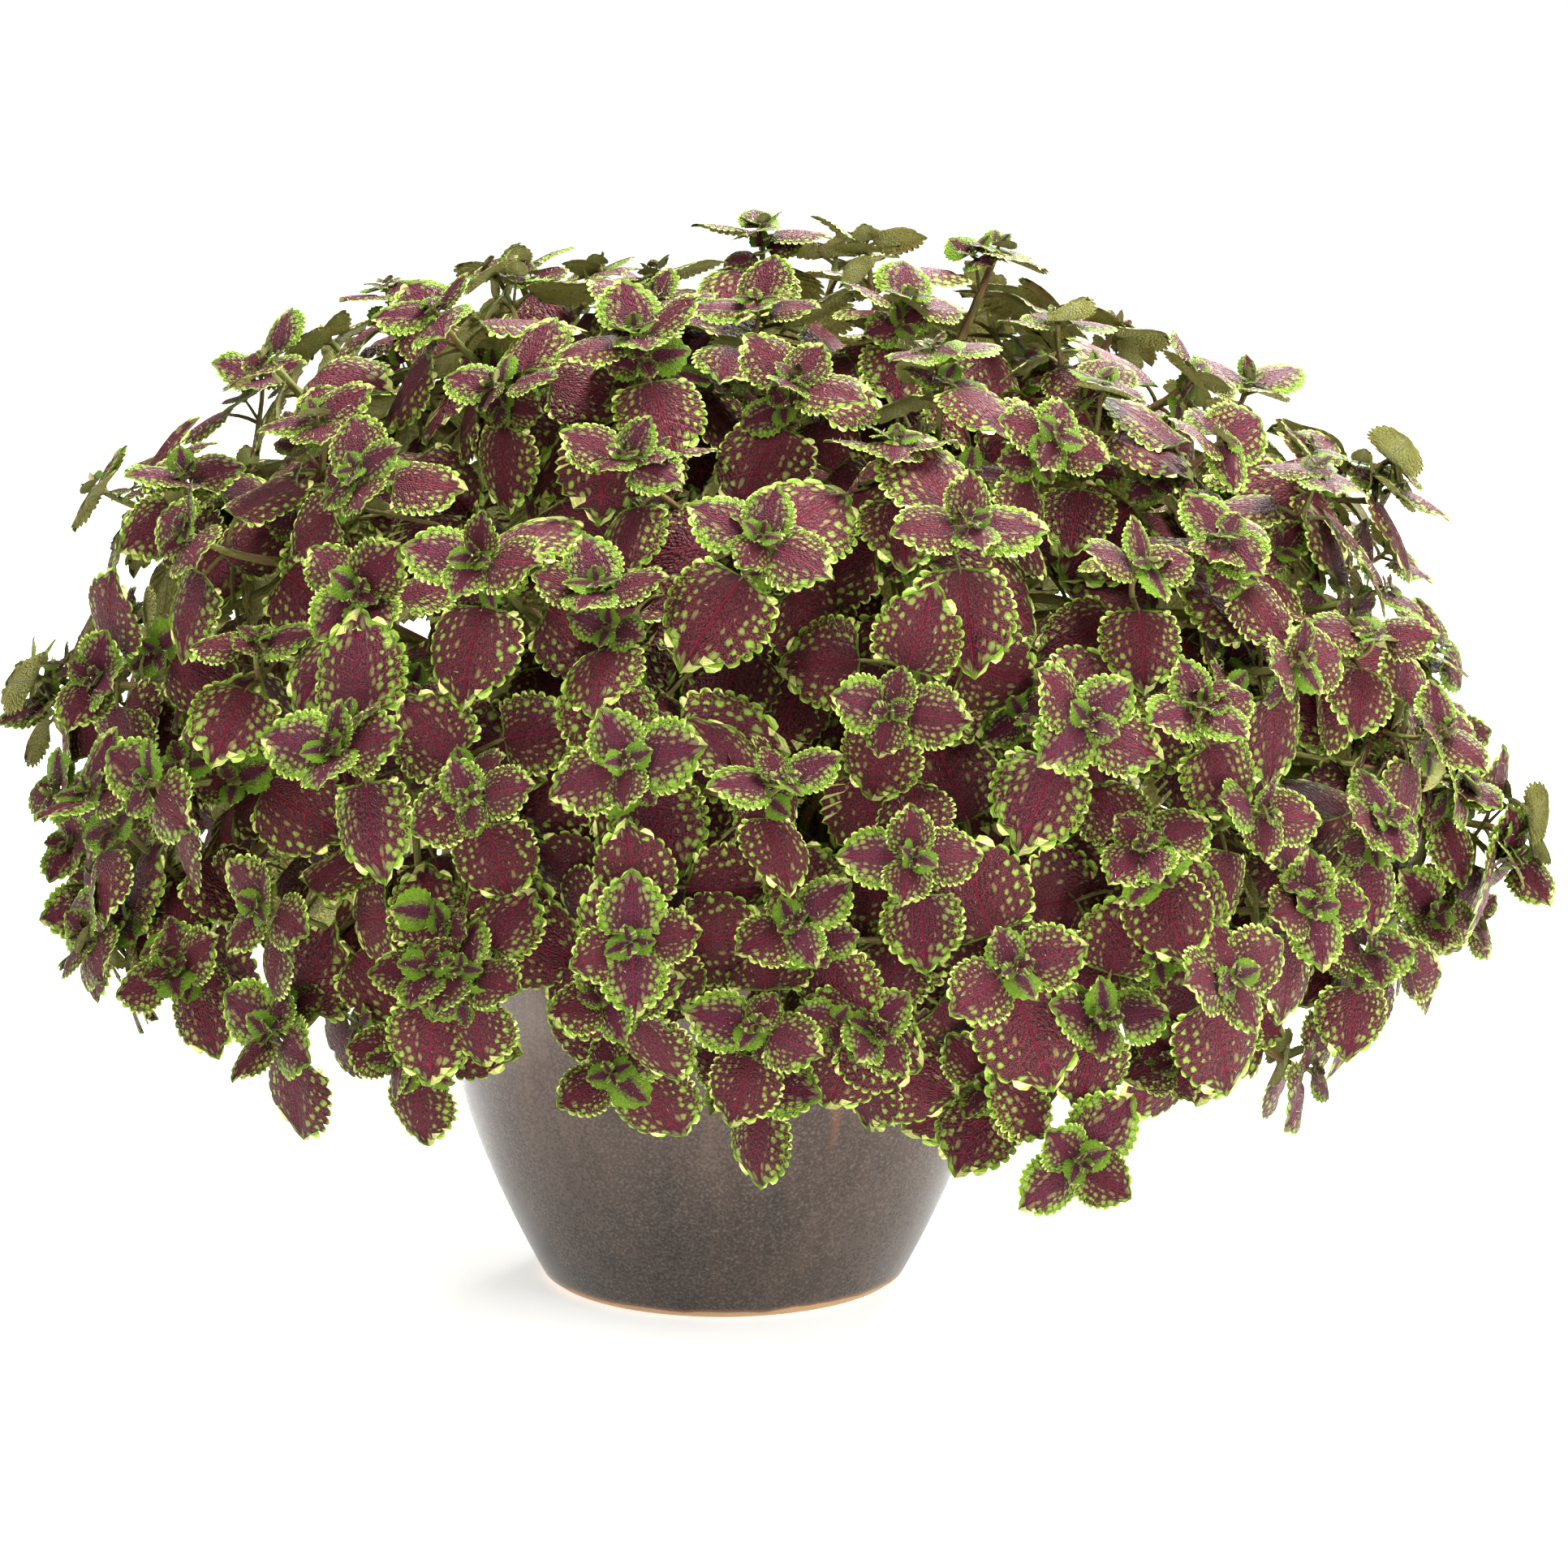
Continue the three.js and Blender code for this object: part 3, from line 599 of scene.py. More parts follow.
# The leafy stems: square, hairy stems that stand in the potting mix, fork into shoots and carry
# their leaves in crossed pairs on slender stalks, each shoot ending in a rosette of tiny leaves.
# Their sizes are in millimetres; a polar angle is 0 at the crown's top and 90 at its side.
CROWN = dict(wide=388, deep=376, high=308, power=2.3)
TUCKED_IN, TUCKED_AT = 0.236, 21.4
CROWN_MIDDLE, UP = np.array([20.0, 0, 262]), np.array([0.0, 0, 1])
LOWEST_POLAR, ARCHED_FROM, ARCHED_OVER = 99, 70, 36
LUMPS = [[0, 14, 20, 16], [180, 36, 22, 15], [180, 68, 16, 14], [0, 46, -16, 11], [130, 60, 14, 16],
         [250, 75, 10, 16]]
STRAYS = [[-2, 91, 424], [4, 61, 398], [181, 79, 404], [-62, 109, 362], [-31, 107, 352], [64, 108, 356]]
STEMS, SHOOTS, SPREAD, FORKS = 16, 3, 12, (0.42, 0.52)
STEM_BASE_R, STEM_TIP_R, ROOTED = 3.9, 2.7, 26
# Radii at the start and end of the frame's later shoots, of further shoots and of buds.
FORK_R, FURTHER_R, BUD_R, STALK_R = (3.0, 1.7), (2.3, 1.5), (1.2, 0.8), 1.15
NODE_SWELLS, NODE_LONG, SMALL_BLADE, TINY_BLADE = 0.16, 2.2, 32, 18
HOLE_IN, HOLE_STEP = 8, 1.065
GOLDEN_ANGLE, FIRST_AZIMUTH, SEED = 137.508, 90, 9
# How far back a pair of leaves stands from its shoot's tip, its blade and stalk, its droop, and
# the shortest shoot that carries it.
PAIRS = [(1.5, 38, 8, -16, 0), (24, 56, 16, 10, 0), (54, 58, 25, 26, 0), (86, 54, 30, 34, 230),
         (215, 56, 34, 30, 280)]


def unit(v):
    return v / np.linalg.norm(v)


def draw(*place):
    """A seeded draw from -1 to 1 that depends only on which place on the plant asks for it."""
    h, whole = SEED, 0xFFFFFFFF
    for key in place:
        h = ((h ^ (key + 40503)) * 0x85EBCA6B) & whole
        h = ((h ^ (h >> 13)) * 0xC2B2AE35) & whole
        h ^= h >> 16
    return h / 2 ** 31 - 1


def crown_reach(azimuth, polar):
    """How far the crown reaches that way: a lumpy dome that is tucked in below its widest."""
    a, p = math.radians(azimuth), math.radians(polar)
    wide = CROWN["deep"] + (CROWN["wide"] - CROWN["deep"]) * math.cos(a) ** 2
    s, c = math.sin(p) / wide, max(0, math.cos(p)) / CROWN["high"]
    reach = (s ** CROWN["power"] + c ** CROWN["power"]) ** (-1 / CROWN["power"])
    if polar > 90:
        reach = wide * (1 - TUCKED_IN * ((polar - 90) / TUCKED_AT) ** 2)
    for az, pol, extra, spread in LUMPS:
        aside = abs(math.fmod(azimuth - az + 540, 360) - 180) * math.sin(p)
        reach += extra * math.exp(-((math.hypot(aside, polar - pol) / spread) ** 2))
    return reach


def even_polar(share, depth):
    """The polar angle that has this share of a round cap above it, the cap being depth radii deep."""
    return math.degrees(math.acos(1 - share * depth))


def tip_place(i, k):
    """Where a shoot's tip stands: azimuth, polar angle, and distance from the crown's middle."""
    if i >= STEMS:
        return STRAYS[i - STEMS]
    middle = even_polar((i + 0.5) / STEMS, 1 - math.cos(math.radians(LOWEST_POLAR)))
    turn = math.radians(120 * k + 20 * draw(i, k, 1))
    polar = max(3, middle - SPREAD * math.cos(turn))
    aside = SPREAD * math.sin(turn) / max(0.3, math.sin(math.radians(polar)))
    azimuth = math.fmod(FIRST_AZIMUTH + i * GOLDEN_ANGLE + aside, 360)
    return [azimuth, polar, crown_reach(azimuth, polar) * (0.98 + 0.04 * draw(i, k, 2))]


def towards(azimuth, polar):
    a, p = math.radians(azimuth), math.radians(polar)
    return np.array([math.sin(p) * math.cos(a), math.sin(p) * math.sin(a), math.cos(p)])


def on_curve(line, t):
    a, b, c, d = line
    return (1 - t) ** 3 * a + 3 * (1 - t) ** 2 * t * b + 3 * (1 - t) * t * t * c + t ** 3 * d


def along_curve(line, t):
    a, b, c, d = line
    return unit((1 - t) ** 2 * (b - a) + 2 * (1 - t) * t * (c - b) + t * t * (d - c))


class Shoot:
    """A shoot's line, a curve of four points, and which way its tip faces."""

    stub = False

    def __init__(self, i, k, place, main=None, fork=0.0, sway=(0, 0)):
        azimuth, polar, reach = place
        out = towards(azimuth, 90)
        tip = CROWN_MIDDLE + towards(azimuth, polar) * reach
        low = max(0, (polar - ARCHED_FROM) / ARCHED_OVER)
        self.i, self.k, self.phase = i, k, 45 * draw(i, k, 3)
        self.side = np.array([-out[1], out[0], 0])
        self.facing = unit(towards(azimuth + sway[0], min(polar + sway[1], 84)) + UP * 0.12)
        if main:
            start = main.at(fork)
            self.long = np.linalg.norm(tip - start)
            leave = start + main.along(fork) * 0.3 * self.long
            arrive = tip - self.facing * 0.3 * self.long
        else:
            self.foot = out * (HOLE_IN + HOLE_STEP * polar) + UP * (SOIL_Z * 1000 - ROOTED)
            start = self.foot + UP * (ROOTED + 8)
            self.long = np.linalg.norm(tip - start)
            leave = start + UP * self.long * (0.34 + 0.16 * low) + out * 0.05 * self.long
            arrive = tip - self.facing * 0.3 * self.long + UP * 0.13 * self.long * low
        self.line = start, leave, arrive, tip

    def at(self, t):
        return on_curve(self.line, t)

    def along(self, t):
        return along_curve(self.line, min(max(t, 0), 1))

    def way_out(self, t, turn):
        """How the stem grows at a node, and the way out of it that is turned so far round it."""
        axis = unit(self.along(t) + self.facing)
        face = unit(np.cross(axis, self.side))
        return axis, self.side * math.cos(turn) + face * math.sin(turn)


class Leaf:
    """Where a leaf stands: its node on the stem, its blade's base, and which way it lies."""

    def __init__(self, shoot, rule, pair, side, key, attempt=0, loose=1.0):
        back, blade, petiole, droop = rule[:4]
        low = min(pair, 3)
        spread = (1 + 0.12 * attempt) * loose
        swing, sag, growth, roll, stretch = (draw(*key, attempt, n) * spread for n in range(1, 6))
        t = 1 - back / shoot.long
        self.node = shoot.at(t) if t <= 1 else shoot.at(1) + shoot.facing * (t - 1) * shoot.long
        turn = math.radians(shoot.phase + 90 * pair + 180 * side + 13 * swing)
        axis, aside = shoot.way_out(t, turn)
        droop = math.radians(droop + 14 * sag)
        self.blade = blade * (1 + 0.09 * growth)
        self.ahead = unit(unit(aside * math.cos(droop) - axis * math.sin(droop) + UP * -0.18 * max(low, 0)))
        normal = axis * math.cos(droop) + aside * math.sin(droop) + UP * 0.16
        normal = normal + np.cross(aside, axis) * 0.2 * roll
        self.normal = unit(normal - self.ahead * (normal @ self.ahead))
        self.stalk = unit(aside + axis * (0.55 - 0.2 * low))
        self.base = self.node + self.stalk * petiole * (1 + 0.25 * stretch)
        self.beside = np.cross(self.normal, self.ahead)
        self.axis = axis

    def at(self, u, v):
        """The place on the arched blade that is u of its length along and v across."""
        lift = 0.1 * u - 0.26 * u * u + 0.1 * abs(v) - 0.62 * v * v
        return self.base + (self.ahead * u + self.beside * v + self.normal * lift) * self.blade


stems = []
for i in range(STEMS + len(STRAYS)):
    main = Shoot(i, 0, tip_place(i, 0))
    forks = enumerate(FORKS, 1) if i < STEMS else ()
    stems.append([main] + [Shoot(i, k, tip_place(i, k), main, fork) for k, fork in forks])

# Each leaf of the frame's solids is found again by its tip, so that the fine leaf lies in its place.
# A leaf is tried for room at places on its blade, on the midrib and on both halves. Tips closer
# than SAME_PLACE are one leaf, and leaves stand ROOM apart, and clear of the pot, where they can.
TESTS = [(0.04, 0), (0.3, 0), (0.6, 0), (0.9, 0), (0.3, 0.25), (0.3, -0.25), (0.62, 0.2), (0.62, -0.2),
         (0.05, 0.22), (0.05, -0.22)]
SAME_PLACE, ROOM, LEAST_ROOM, POT_CLEAR_R, POT_CLEAR_Z = 0.1, 7.0, 2.5, 165, 262
leaves, taken, missing = [], [], []


def keep(leaf, pair, key):
    """Notes a leaf with its stem, its pair, and a draw that mixes the ages and bends."""
    leaves.append((key[0], leaf, pair, draw(*key, 91)))


for i, shoots in enumerate(stems):
    mesh = frame["nodes"][f"leafy_stem_{i + 1:02d}"].data
    corners = np.empty(len(mesh.vertices) * 3, np.float32)
    mesh.vertices.foreach_get("co", corners)
    corners = corners.reshape(-1, 3) * 1000
    for shoot in shoots:
        for pair, rule in enumerate(PAIRS):
            for side in range(2 if shoot.long > rule[4] else 0):
                key = (i, shoot.k, pair, side)
                tries = [Leaf(shoot, rule, pair, side, key, n) for n in range(14)]
                gaps = [np.abs(corners - leaf.at(1, 0)).max(1).min() for leaf in tries]
                best = int(np.argmin(gaps))
                if gaps[best] < SAME_PLACE:
                    keep(tries[best], pair, key)
                    taken += [tries[best].at(u, v) for u, v in TESTS]
                else:
                    missing.append(key)


def room_for(tries):
    """The try that comes closest to the fewest leaves that are set."""
    placed = np.array(taken)
    best, least = None, 1e9
    for leaf in tries:
        spots = np.array([leaf.at(u, v) for u, v in TESTS])
        close = placed[np.abs(placed - spots.mean(0)).max(1) < leaf.blade + ROOM]
        hits = 0.0
        if len(close):
            gap = np.linalg.norm(close[:, None] - spots[None], axis=2)
            hits = np.clip(1 - gap / max(ROOM * leaf.blade / 50, LEAST_ROOM), 0, 1).sum()
        at_pot = spots[np.hypot(spots[:, 0], spots[:, 1]) < POT_CLEAR_R]
        hits += 5 * (at_pot[:, 2] < POT_CLEAR_Z).sum()
        if hits < least:
            best, least = leaf, hits
        if hits == 0:
            break
    taken.extend(best.at(u, v) for u, v in TESTS)
    return best

# Shoots between those of the frame: each new tip is set where the crown is barest, then a few hang
# over the pot's edge. The strays have side shoots of their own: where they fork off, how far
# aside and below their tips stand, and how much shorter they reach.
HANGING = [(259, 93, 368), (247, 92, 366), (270, 95, 368), (190, 96, 368), (352, 97, 376)]
MORE_SHOOTS, FORKED_AT, SPOTS_TRIED, MORE_DEPTH = 103, 0.62, 900, 1 - math.cos(math.radians(103))
SIDE_SHOOTS = [(0.62, 5, 8, 0.95), (0.74, -6, -5, 0.91), (0.86, -1, 2, 0.98)]
for i, (azimuth, polar, reach) in enumerate(STRAYS, STEMS):
    east = math.cos(math.radians(azimuth))
    for n, (fork, aside, below, shorter) in enumerate(SIDE_SHOOTS if polar < 100 else SIDE_SHOOTS[1:2]):
        side_tip = azimuth + aside, polar + below, reach * shorter
        sway = -50 * east + 20 * draw(i, n, 59), -14
        stems[i].append(Shoot(i, 4 + n, side_tip, stems[i][0], fork, sway))
tips = [shoot.line[-1] for shoots in stems for shoot in shoots]
spots = []
for n in range(SPOTS_TRIED):
    azimuth, polar = math.fmod(n * GOLDEN_ANGLE, 360), even_polar((n + 0.5) / SPOTS_TRIED, MORE_DEPTH)
    flank = abs(math.cos(math.radians(azimuth))) ** 3 * math.sin(math.radians(polar)) ** 2
    reach = crown_reach(azimuth, polar) * (0.955 + 0.04 * flank + 0.02 * draw(n, 55))
    spots.append((azimuth, polar, reach, CROWN_MIDDLE + towards(azimuth, polar) * reach))
gap = np.array([min(np.linalg.norm(spot[3] - tip) for tip in tips) for spot in spots])
mains = [shoot for shoots in stems for shoot in shoots if shoot.k < SHOOTS]


def way_to(shoot, place):
    """How far it is from a shoot's fork to a place, less a little where the shoot heads there."""
    start = shoot.at(FORKED_AT)
    return np.linalg.norm(start - place) - 20 * (shoot.along(FORKED_AT) @ unit(place - start))


for n in range(MORE_SHOOTS + len(HANGING)):
    azimuth, polar, reach, place = spots[int(np.argmax(gap))]
    if n >= MORE_SHOOTS:
        azimuth, polar, reach = HANGING[n - MORE_SHOOTS]
        place = CROWN_MIDDLE + towards(azimuth, polar) * reach
    parent = min(mains, key=lambda shoot: way_to(shoot, place))
    east = math.cos(math.radians(azimuth))
    turned = 50 * east * abs(east) if math.sin(math.radians(azimuth)) < 0.4 else 0
    upright = 0.5 * polar if 15 < azimuth < 165 and polar < 75 else 8
    sway = 46 * draw(n, 57) / max(0.5, math.sin(math.radians(polar))) - turned, 32 * draw(n, 58) - upright
    fork = 0.58 + 0.06 * draw(n, 56)
    stems[parent.i].append(Shoot(parent.i, 10 + n, (azimuth, polar, reach), parent, fork, sway))
    gap = np.minimum(gap, [np.linalg.norm(spot[3] - place) for spot in spots])

# Their pairs of leaves, and the pairs that the frame's own shoots lack.
MORE_PAIRS = [(2, 32, 8, -14, 0), (25, 45, 16, 12, 0), (52, 50, 24, 28, 0), (86, 51, 30, 34, 130)]
every_shoot = [shoot for shoots in stems for shoot in shoots]
for shoot in every_shoot:
    more = shoot.k >= SHOOTS
    for pair, rule in enumerate(MORE_PAIRS if more else PAIRS):
        for side in range(2):
            key = (shoot.i, shoot.k, pair, side)
            least = max(rule[0] + 15, min(rule[4], 130) if pair < 4 else rule[4])
            if shoot.long > least and (more or key in missing or shoot.long <= rule[4]):
                keep(room_for([Leaf(shoot, rule, pair, side, key, n) for n in range(7)]), pair, key)

# Older leaves deep in the crown, on the longer shoots.
OLD, OLD_PAIR = 5, (120, 52, 34, 26, 200)
for shoot in every_shoot:
    for side in range(2 if shoot.long > OLD_PAIR[4] else 0):
        key = (shoot.i, shoot.k, OLD, side)
        keep(room_for([Leaf(shoot, OLD_PAIR, OLD, side, key, n) for n in range(9)]), OLD, key)


class HangingLeaf(Leaf):
    """An older leaf that hangs on a long stalk, its blade's middle where the inside is bare."""

    def __init__(self, node, axis, spot, n):
        outwards = unit(spot - CROWN_MIDDLE)
        self.blade, self.node, self.axis = 52 + 6 * draw(n, 81), node, axis
        self.ahead = unit(outwards * 0.4 - UP * 0.7 + np.cross(outwards, UP) * draw(n, 82))
        facing = outwards + UP * 0.35 + np.cross(outwards, UP) * 0.3 * draw(n, 83)
        self.normal = unit(facing - self.ahead * (facing @ self.ahead))
        self.beside = np.cross(self.normal, self.ahead)
        self.base = spot - self.ahead * self.blade * 0.5
        self.stalk = unit(self.base - node)


# They lie at a share of the crown's reach. Places nearer the middle than HIDDEN_R and HIDDEN_Z
# don't show, so they stay bare.
INNER_SHARE, INNER_LEAVES, INNER_DEPTH, HIDDEN_R, HIDDEN_Z = 0.76, 150, 1.17, 200, 300
bare_spots = []
for n in range(SPOTS_TRIED):
    azimuth, polar = math.fmod(n * GOLDEN_ANGLE, 360), even_polar((n + 0.5) / SPOTS_TRIED, INNER_DEPTH)
    inside = crown_reach(azimuth, polar) * INNER_SHARE * (1 + 0.12 * draw(n, 80))
    spot = CROWN_MIDDLE + towards(azimuth, polar) * inside
    if math.hypot(spot[0], spot[1]) > HIDDEN_R or spot[2] > HIDDEN_Z:
        bare_spots.append(spot)
bare_spots, placed = np.array(bare_spots), np.array(taken)
bare = np.array([np.linalg.norm(placed - spot, axis=1).min() for spot in bare_spots])
stations = [(shoot, t, shoot.at(t)) for shoot in every_shoot for t in np.linspace(0.2, 0.9, 8)]
station_places = np.array([place for shoot, t, place in stations])
for n in range(INNER_LEAVES):
    spot = bare_spots[int(np.argmax(bare))]
    shoot, t, node = stations[int(np.linalg.norm(station_places - spot, axis=1).argmin())]
    leaf = HangingLeaf(node, shoot.along(t), spot, n)
    leaves.append((shoot.i, leaf, OLD, draw(n, 84)))
    here = np.array([leaf.at(u, v) for u, v in TESTS])
    bare = np.minimum(bare, np.linalg.norm(bare_spots[:, None] - here[None], axis=2).min(1))

# The rosette at each tip: three small pairs, crossed and ever more upright.
ROSETTE = [(-2.5, 28, 3.5, -15), (-5.5, 14, 1.6, -28), (-7.5, 8, 0.8, -46)]
for shoot in every_shoot:
    for n, (back, blade, petiole, droop) in enumerate(ROSETTE):
        for side in range(2):
            key = (shoot.i, shoot.k, 20 + n, side)
            vigour = 0.95 + 0.25 * draw(shoot.i, shoot.k, 60) + 0.12 * draw(*key)
            rule = back, blade * vigour, petiole * vigour, droop + 16 * draw(shoot.i, shoot.k, 61)
            keep(Leaf(shoot, rule, -1 - n, side, key, loose=1.6), -1 - n, key)

# Little side shoots in the axils of the second and third pair, each with two small pairs; a draw
# below the limit leaves one out.
BUD_PAIRS, LEFT_OUT = [(0, 22, 4, -8), (-3, 13, 2, -36)], 0.1
buds = []


class Bud(Shoot):
    """A stub in a leaf axil that leans out of the stem."""

    stub = True

    def __init__(self, shoot, pair, side, number):
        t = 1 - PAIRS[pair][0] / shoot.long
        axis, aside = shoot.way_out(t, math.radians(shoot.phase + 90 * pair + 180 * side))
        start, heading = shoot.at(t), unit(aside * 0.8 + axis)
        reach = 13 + 7 * draw(shoot.i, shoot.k, pair, side, 71)
        tip = start + heading * reach + UP * 2
        self.i, self.k, self.phase = shoot.i, 100 + number, 45 * draw(number, 72)
        self.side = unit(np.cross(heading, UP + 0.01))
        self.facing, self.long = heading, reach
        self.line = start, start + heading * reach * 0.3, tip - heading * reach * 0.3, tip


for shoot in every_shoot:
    for pair, side in ((1, 0), (1, 1), (2, 0), (2, 1)):
        if draw(shoot.i, shoot.k, pair, side, 70) < LEFT_OUT:
            continue
        bud = Bud(shoot, pair, side, len(buds))
        buds.append(bud)
        for n, rule in enumerate(BUD_PAIRS):
            for hand in range(2):
                key = (shoot.i, bud.k, 30 + n, hand)
                keep(Leaf(bud, rule, -n, hand, key), -1 - n, key)


def skin_of(rings, heights):
    """Points, faces and sheet places for a closed skin over rings of points, at shares of its height."""
    count = len(rings[0])
    points = [p for ring in rings for p in ring]
    faces, places = [], []
    for n in range(len(rings) - 1):
        for c in range(count):
            d = (c + 1) % count
            faces.append((n * count + c, n * count + d, (n + 1) * count + d, (n + 1) * count + c))
            left, right, lo, hi = c / count, (c + 1) / count, heights[n], heights[n + 1]
            places.append([(left, lo), (right, lo), (right, hi), (left, hi)])
    for ring, order in ((0, -1), (len(rings) - 1, 1)):
        faces.append(tuple(ring * count + c for c in range(count))[::order])
        places.append([(0.5, heights[ring])] * count)
    return points, faces, places


def stem_skin(shoot):
    """A square stem, swollen at its nodes, that narrows to a blunt end among the tiny leaves."""
    first, forked = shoot.k == 0, shoot.k < SHOOTS
    thick, thin = BUD_R if shoot.stub else FORK_R if forked else FURTHER_R
    thick = STEM_BASE_R if first else thick
    nodes = [1 - rule[0] / shoot.long for rule in PAIRS if shoot.long > max(rule[0] + 15, rule[4])]
    nodes = [] if shoot.stub else nodes
    shares = sorted([*np.linspace(0, 1, 4 if shoot.stub else 22), *nodes])
    rings, heights = [], []
    corners = np.radians(np.arange(8) * 45 + 45 + shoot.phase)
    for t in [-1] + shares if first else shares:
        middle = shoot.foot if t < 0 else shoot.at(t)
        along = UP if first and t <= 0 else shoot.along(t)
        face = unit(np.cross(along, shoot.side))
        beside = np.cross(face, along)
        u = max(0, t)
        r = thick + ((STEM_TIP_R if forked else thin) - thick) * u
        if forked:
            r += (thin - STEM_TIP_R) * max(0, (u - 0.75) / 0.25) ** 1.5
        if nodes:
            r *= 1 + NODE_SWELLS * max(math.exp(-(((t - n) * shoot.long / NODE_LONG) ** 2)) for n in nodes)
        rings.append([middle + (beside * math.cos(a) + face * math.sin(a)) * r * (1 if c % 2 == 0 else 0.8)
                      for c, a in enumerate(corners)])
        heights.append(0.05 + 0.85 * u)
    end = shoot.line[-1] + shoot.facing * min(7, shoot.long * 0.4)
    face = unit(np.cross(shoot.facing, shoot.side))
    rings.append([end + (shoot.side * math.cos(a) + face * math.sin(a)) * thin * 0.4 for a in corners])
    return skin_of(rings, heights + [0.98])


def stalk_skin(leaf):
    """A leaf's stalk, from inside the stem, with a bow, to under the blade's midrib."""
    reach = np.linalg.norm(leaf.base - leaf.node)
    r = min(STALK_R, 0.62 + 0.53 * leaf.blade / 40)
    start = leaf.node + leaf.stalk * min(1.0, reach * 0.2)
    end = leaf.base + leaf.ahead * leaf.blade * 0.05 - leaf.normal * r * 0.75
    line = (start, start + leaf.stalk * reach * 0.4 + leaf.axis * reach * 0.06,
            end - unit(leaf.ahead + leaf.stalk) * reach * 0.3, end)
    sides, steps = 5, (0, 0.25, 0.55, 0.82, 1)
    if leaf.blade < SMALL_BLADE:
        sides, steps = (3, (0, 1)) if leaf.blade < TINY_BLADE else (5, (0, 0.5, 1))
    rings = []
    for t in steps:
        along = along_curve(line, t)
        face = unit(np.cross(along, leaf.beside))
        beside = np.cross(face, along)
        wide = r * (1.15 - 0.3 * t) * (0.6 if t == 1 else 1)
        rings.append([on_curve(line, t) + (beside * math.cos(w) + face * math.sin(w)) * wide
                      for w in np.linspace(0, 2 * math.pi, sides, endpoint=False)])
    return skin_of(rings, [0.35 + 0.5 * t for t in steps])


tree, given, result = tree_of("leaves_on_stalks", {
    "Blades": "Collection", "Skin": "Material", "Hair": "Object", "Hairs Per Metre": "Float", "Seed": "Int"})


def named(form, label):
    return step_in(tree, "InputNamedAttribute", {"data_type": form}, Name=label)


is_leaf = step_in(tree, "FunctionNodeCompare", ABOVE, A=named("FLOAT", "blade"), B=0.0)
bases = step_in(tree, "SeparateGeometry", {"domain": "POINT"}, Geometry=given["Geometry"], Selection=is_leaf)
kinds = step_in(tree, "CollectionInfo", Collection=given["Blades"],
                Separate_Children=True, Reset_Children=True)
laid = step_in(tree, "InstanceOnPoints", Points=bases, Instance=kinds, Pick_Instance=True,
               Instance_Index=named("INT", "kind"), Rotation=named("QUATERNION", "lie"),
               Scale=named("FLOAT", "blade"))
laid = step_in(tree, "RealizeInstances", Geometry=laid)
plant = joined(tree, bases.node.outputs["Inverted"], laid)
down = times(tree, named("FLOAT", "downy"), given["Hairs Per Metre"])
roots = step_in(tree, "DistributePointsOnFaces", Mesh=plant, Density=down, Seed=given["Seed"])
lean = step_in(tree, "FunctionNodeRotateRotation", {"rotation_space": "LOCAL"},
               Rotation=roots.node.outputs["Rotation"],
               Rotate_By=drawn(tree, (-0.6, -0.6, 0), (0.6, 0.6, 6.28), 11))
hairs = step_in(tree, "InstanceOnPoints", Points=roots, Rotation=lean, Scale=drawn(tree, 0.6, 1.3, 12),
                Instance=step_in(tree, "ObjectInfo", None, "Geometry", Object=given["Hair"]))
hairs = step_in(tree, "RealizeInstances", Geometry=hairs)
plant = step_in(tree, "SetMaterial", Geometry=joined(tree, plant, hairs), Material=given["Skin"])
tree.links.new(plant, result)

# One hair: a pale spike 2 mm long, its foot sunk in the skin.
HAIR_LONG, HAIR_R, HAIRS_PER_METRE = 0.0021, 0.00013, 13000.0
foot = [(HAIR_R * math.cos(a), HAIR_R * math.sin(a), -0.0002) for a in np.radians([0, 120, 240])]
hair = plain_object("hair", foot + [(0, 0, HAIR_LONG)], [(0, 1, 3), (1, 2, 3), (2, 0, 3), (2, 1, 0)])
pale = [(UNDER_SQUARE % SHEET + 0.5) / SHEET, (UNDER_SQUARE // SHEET + 0.3) / SHEET]
hair.data.uv_layers.new(name="OFBake").data.foreach_set("uv", pale * 12)

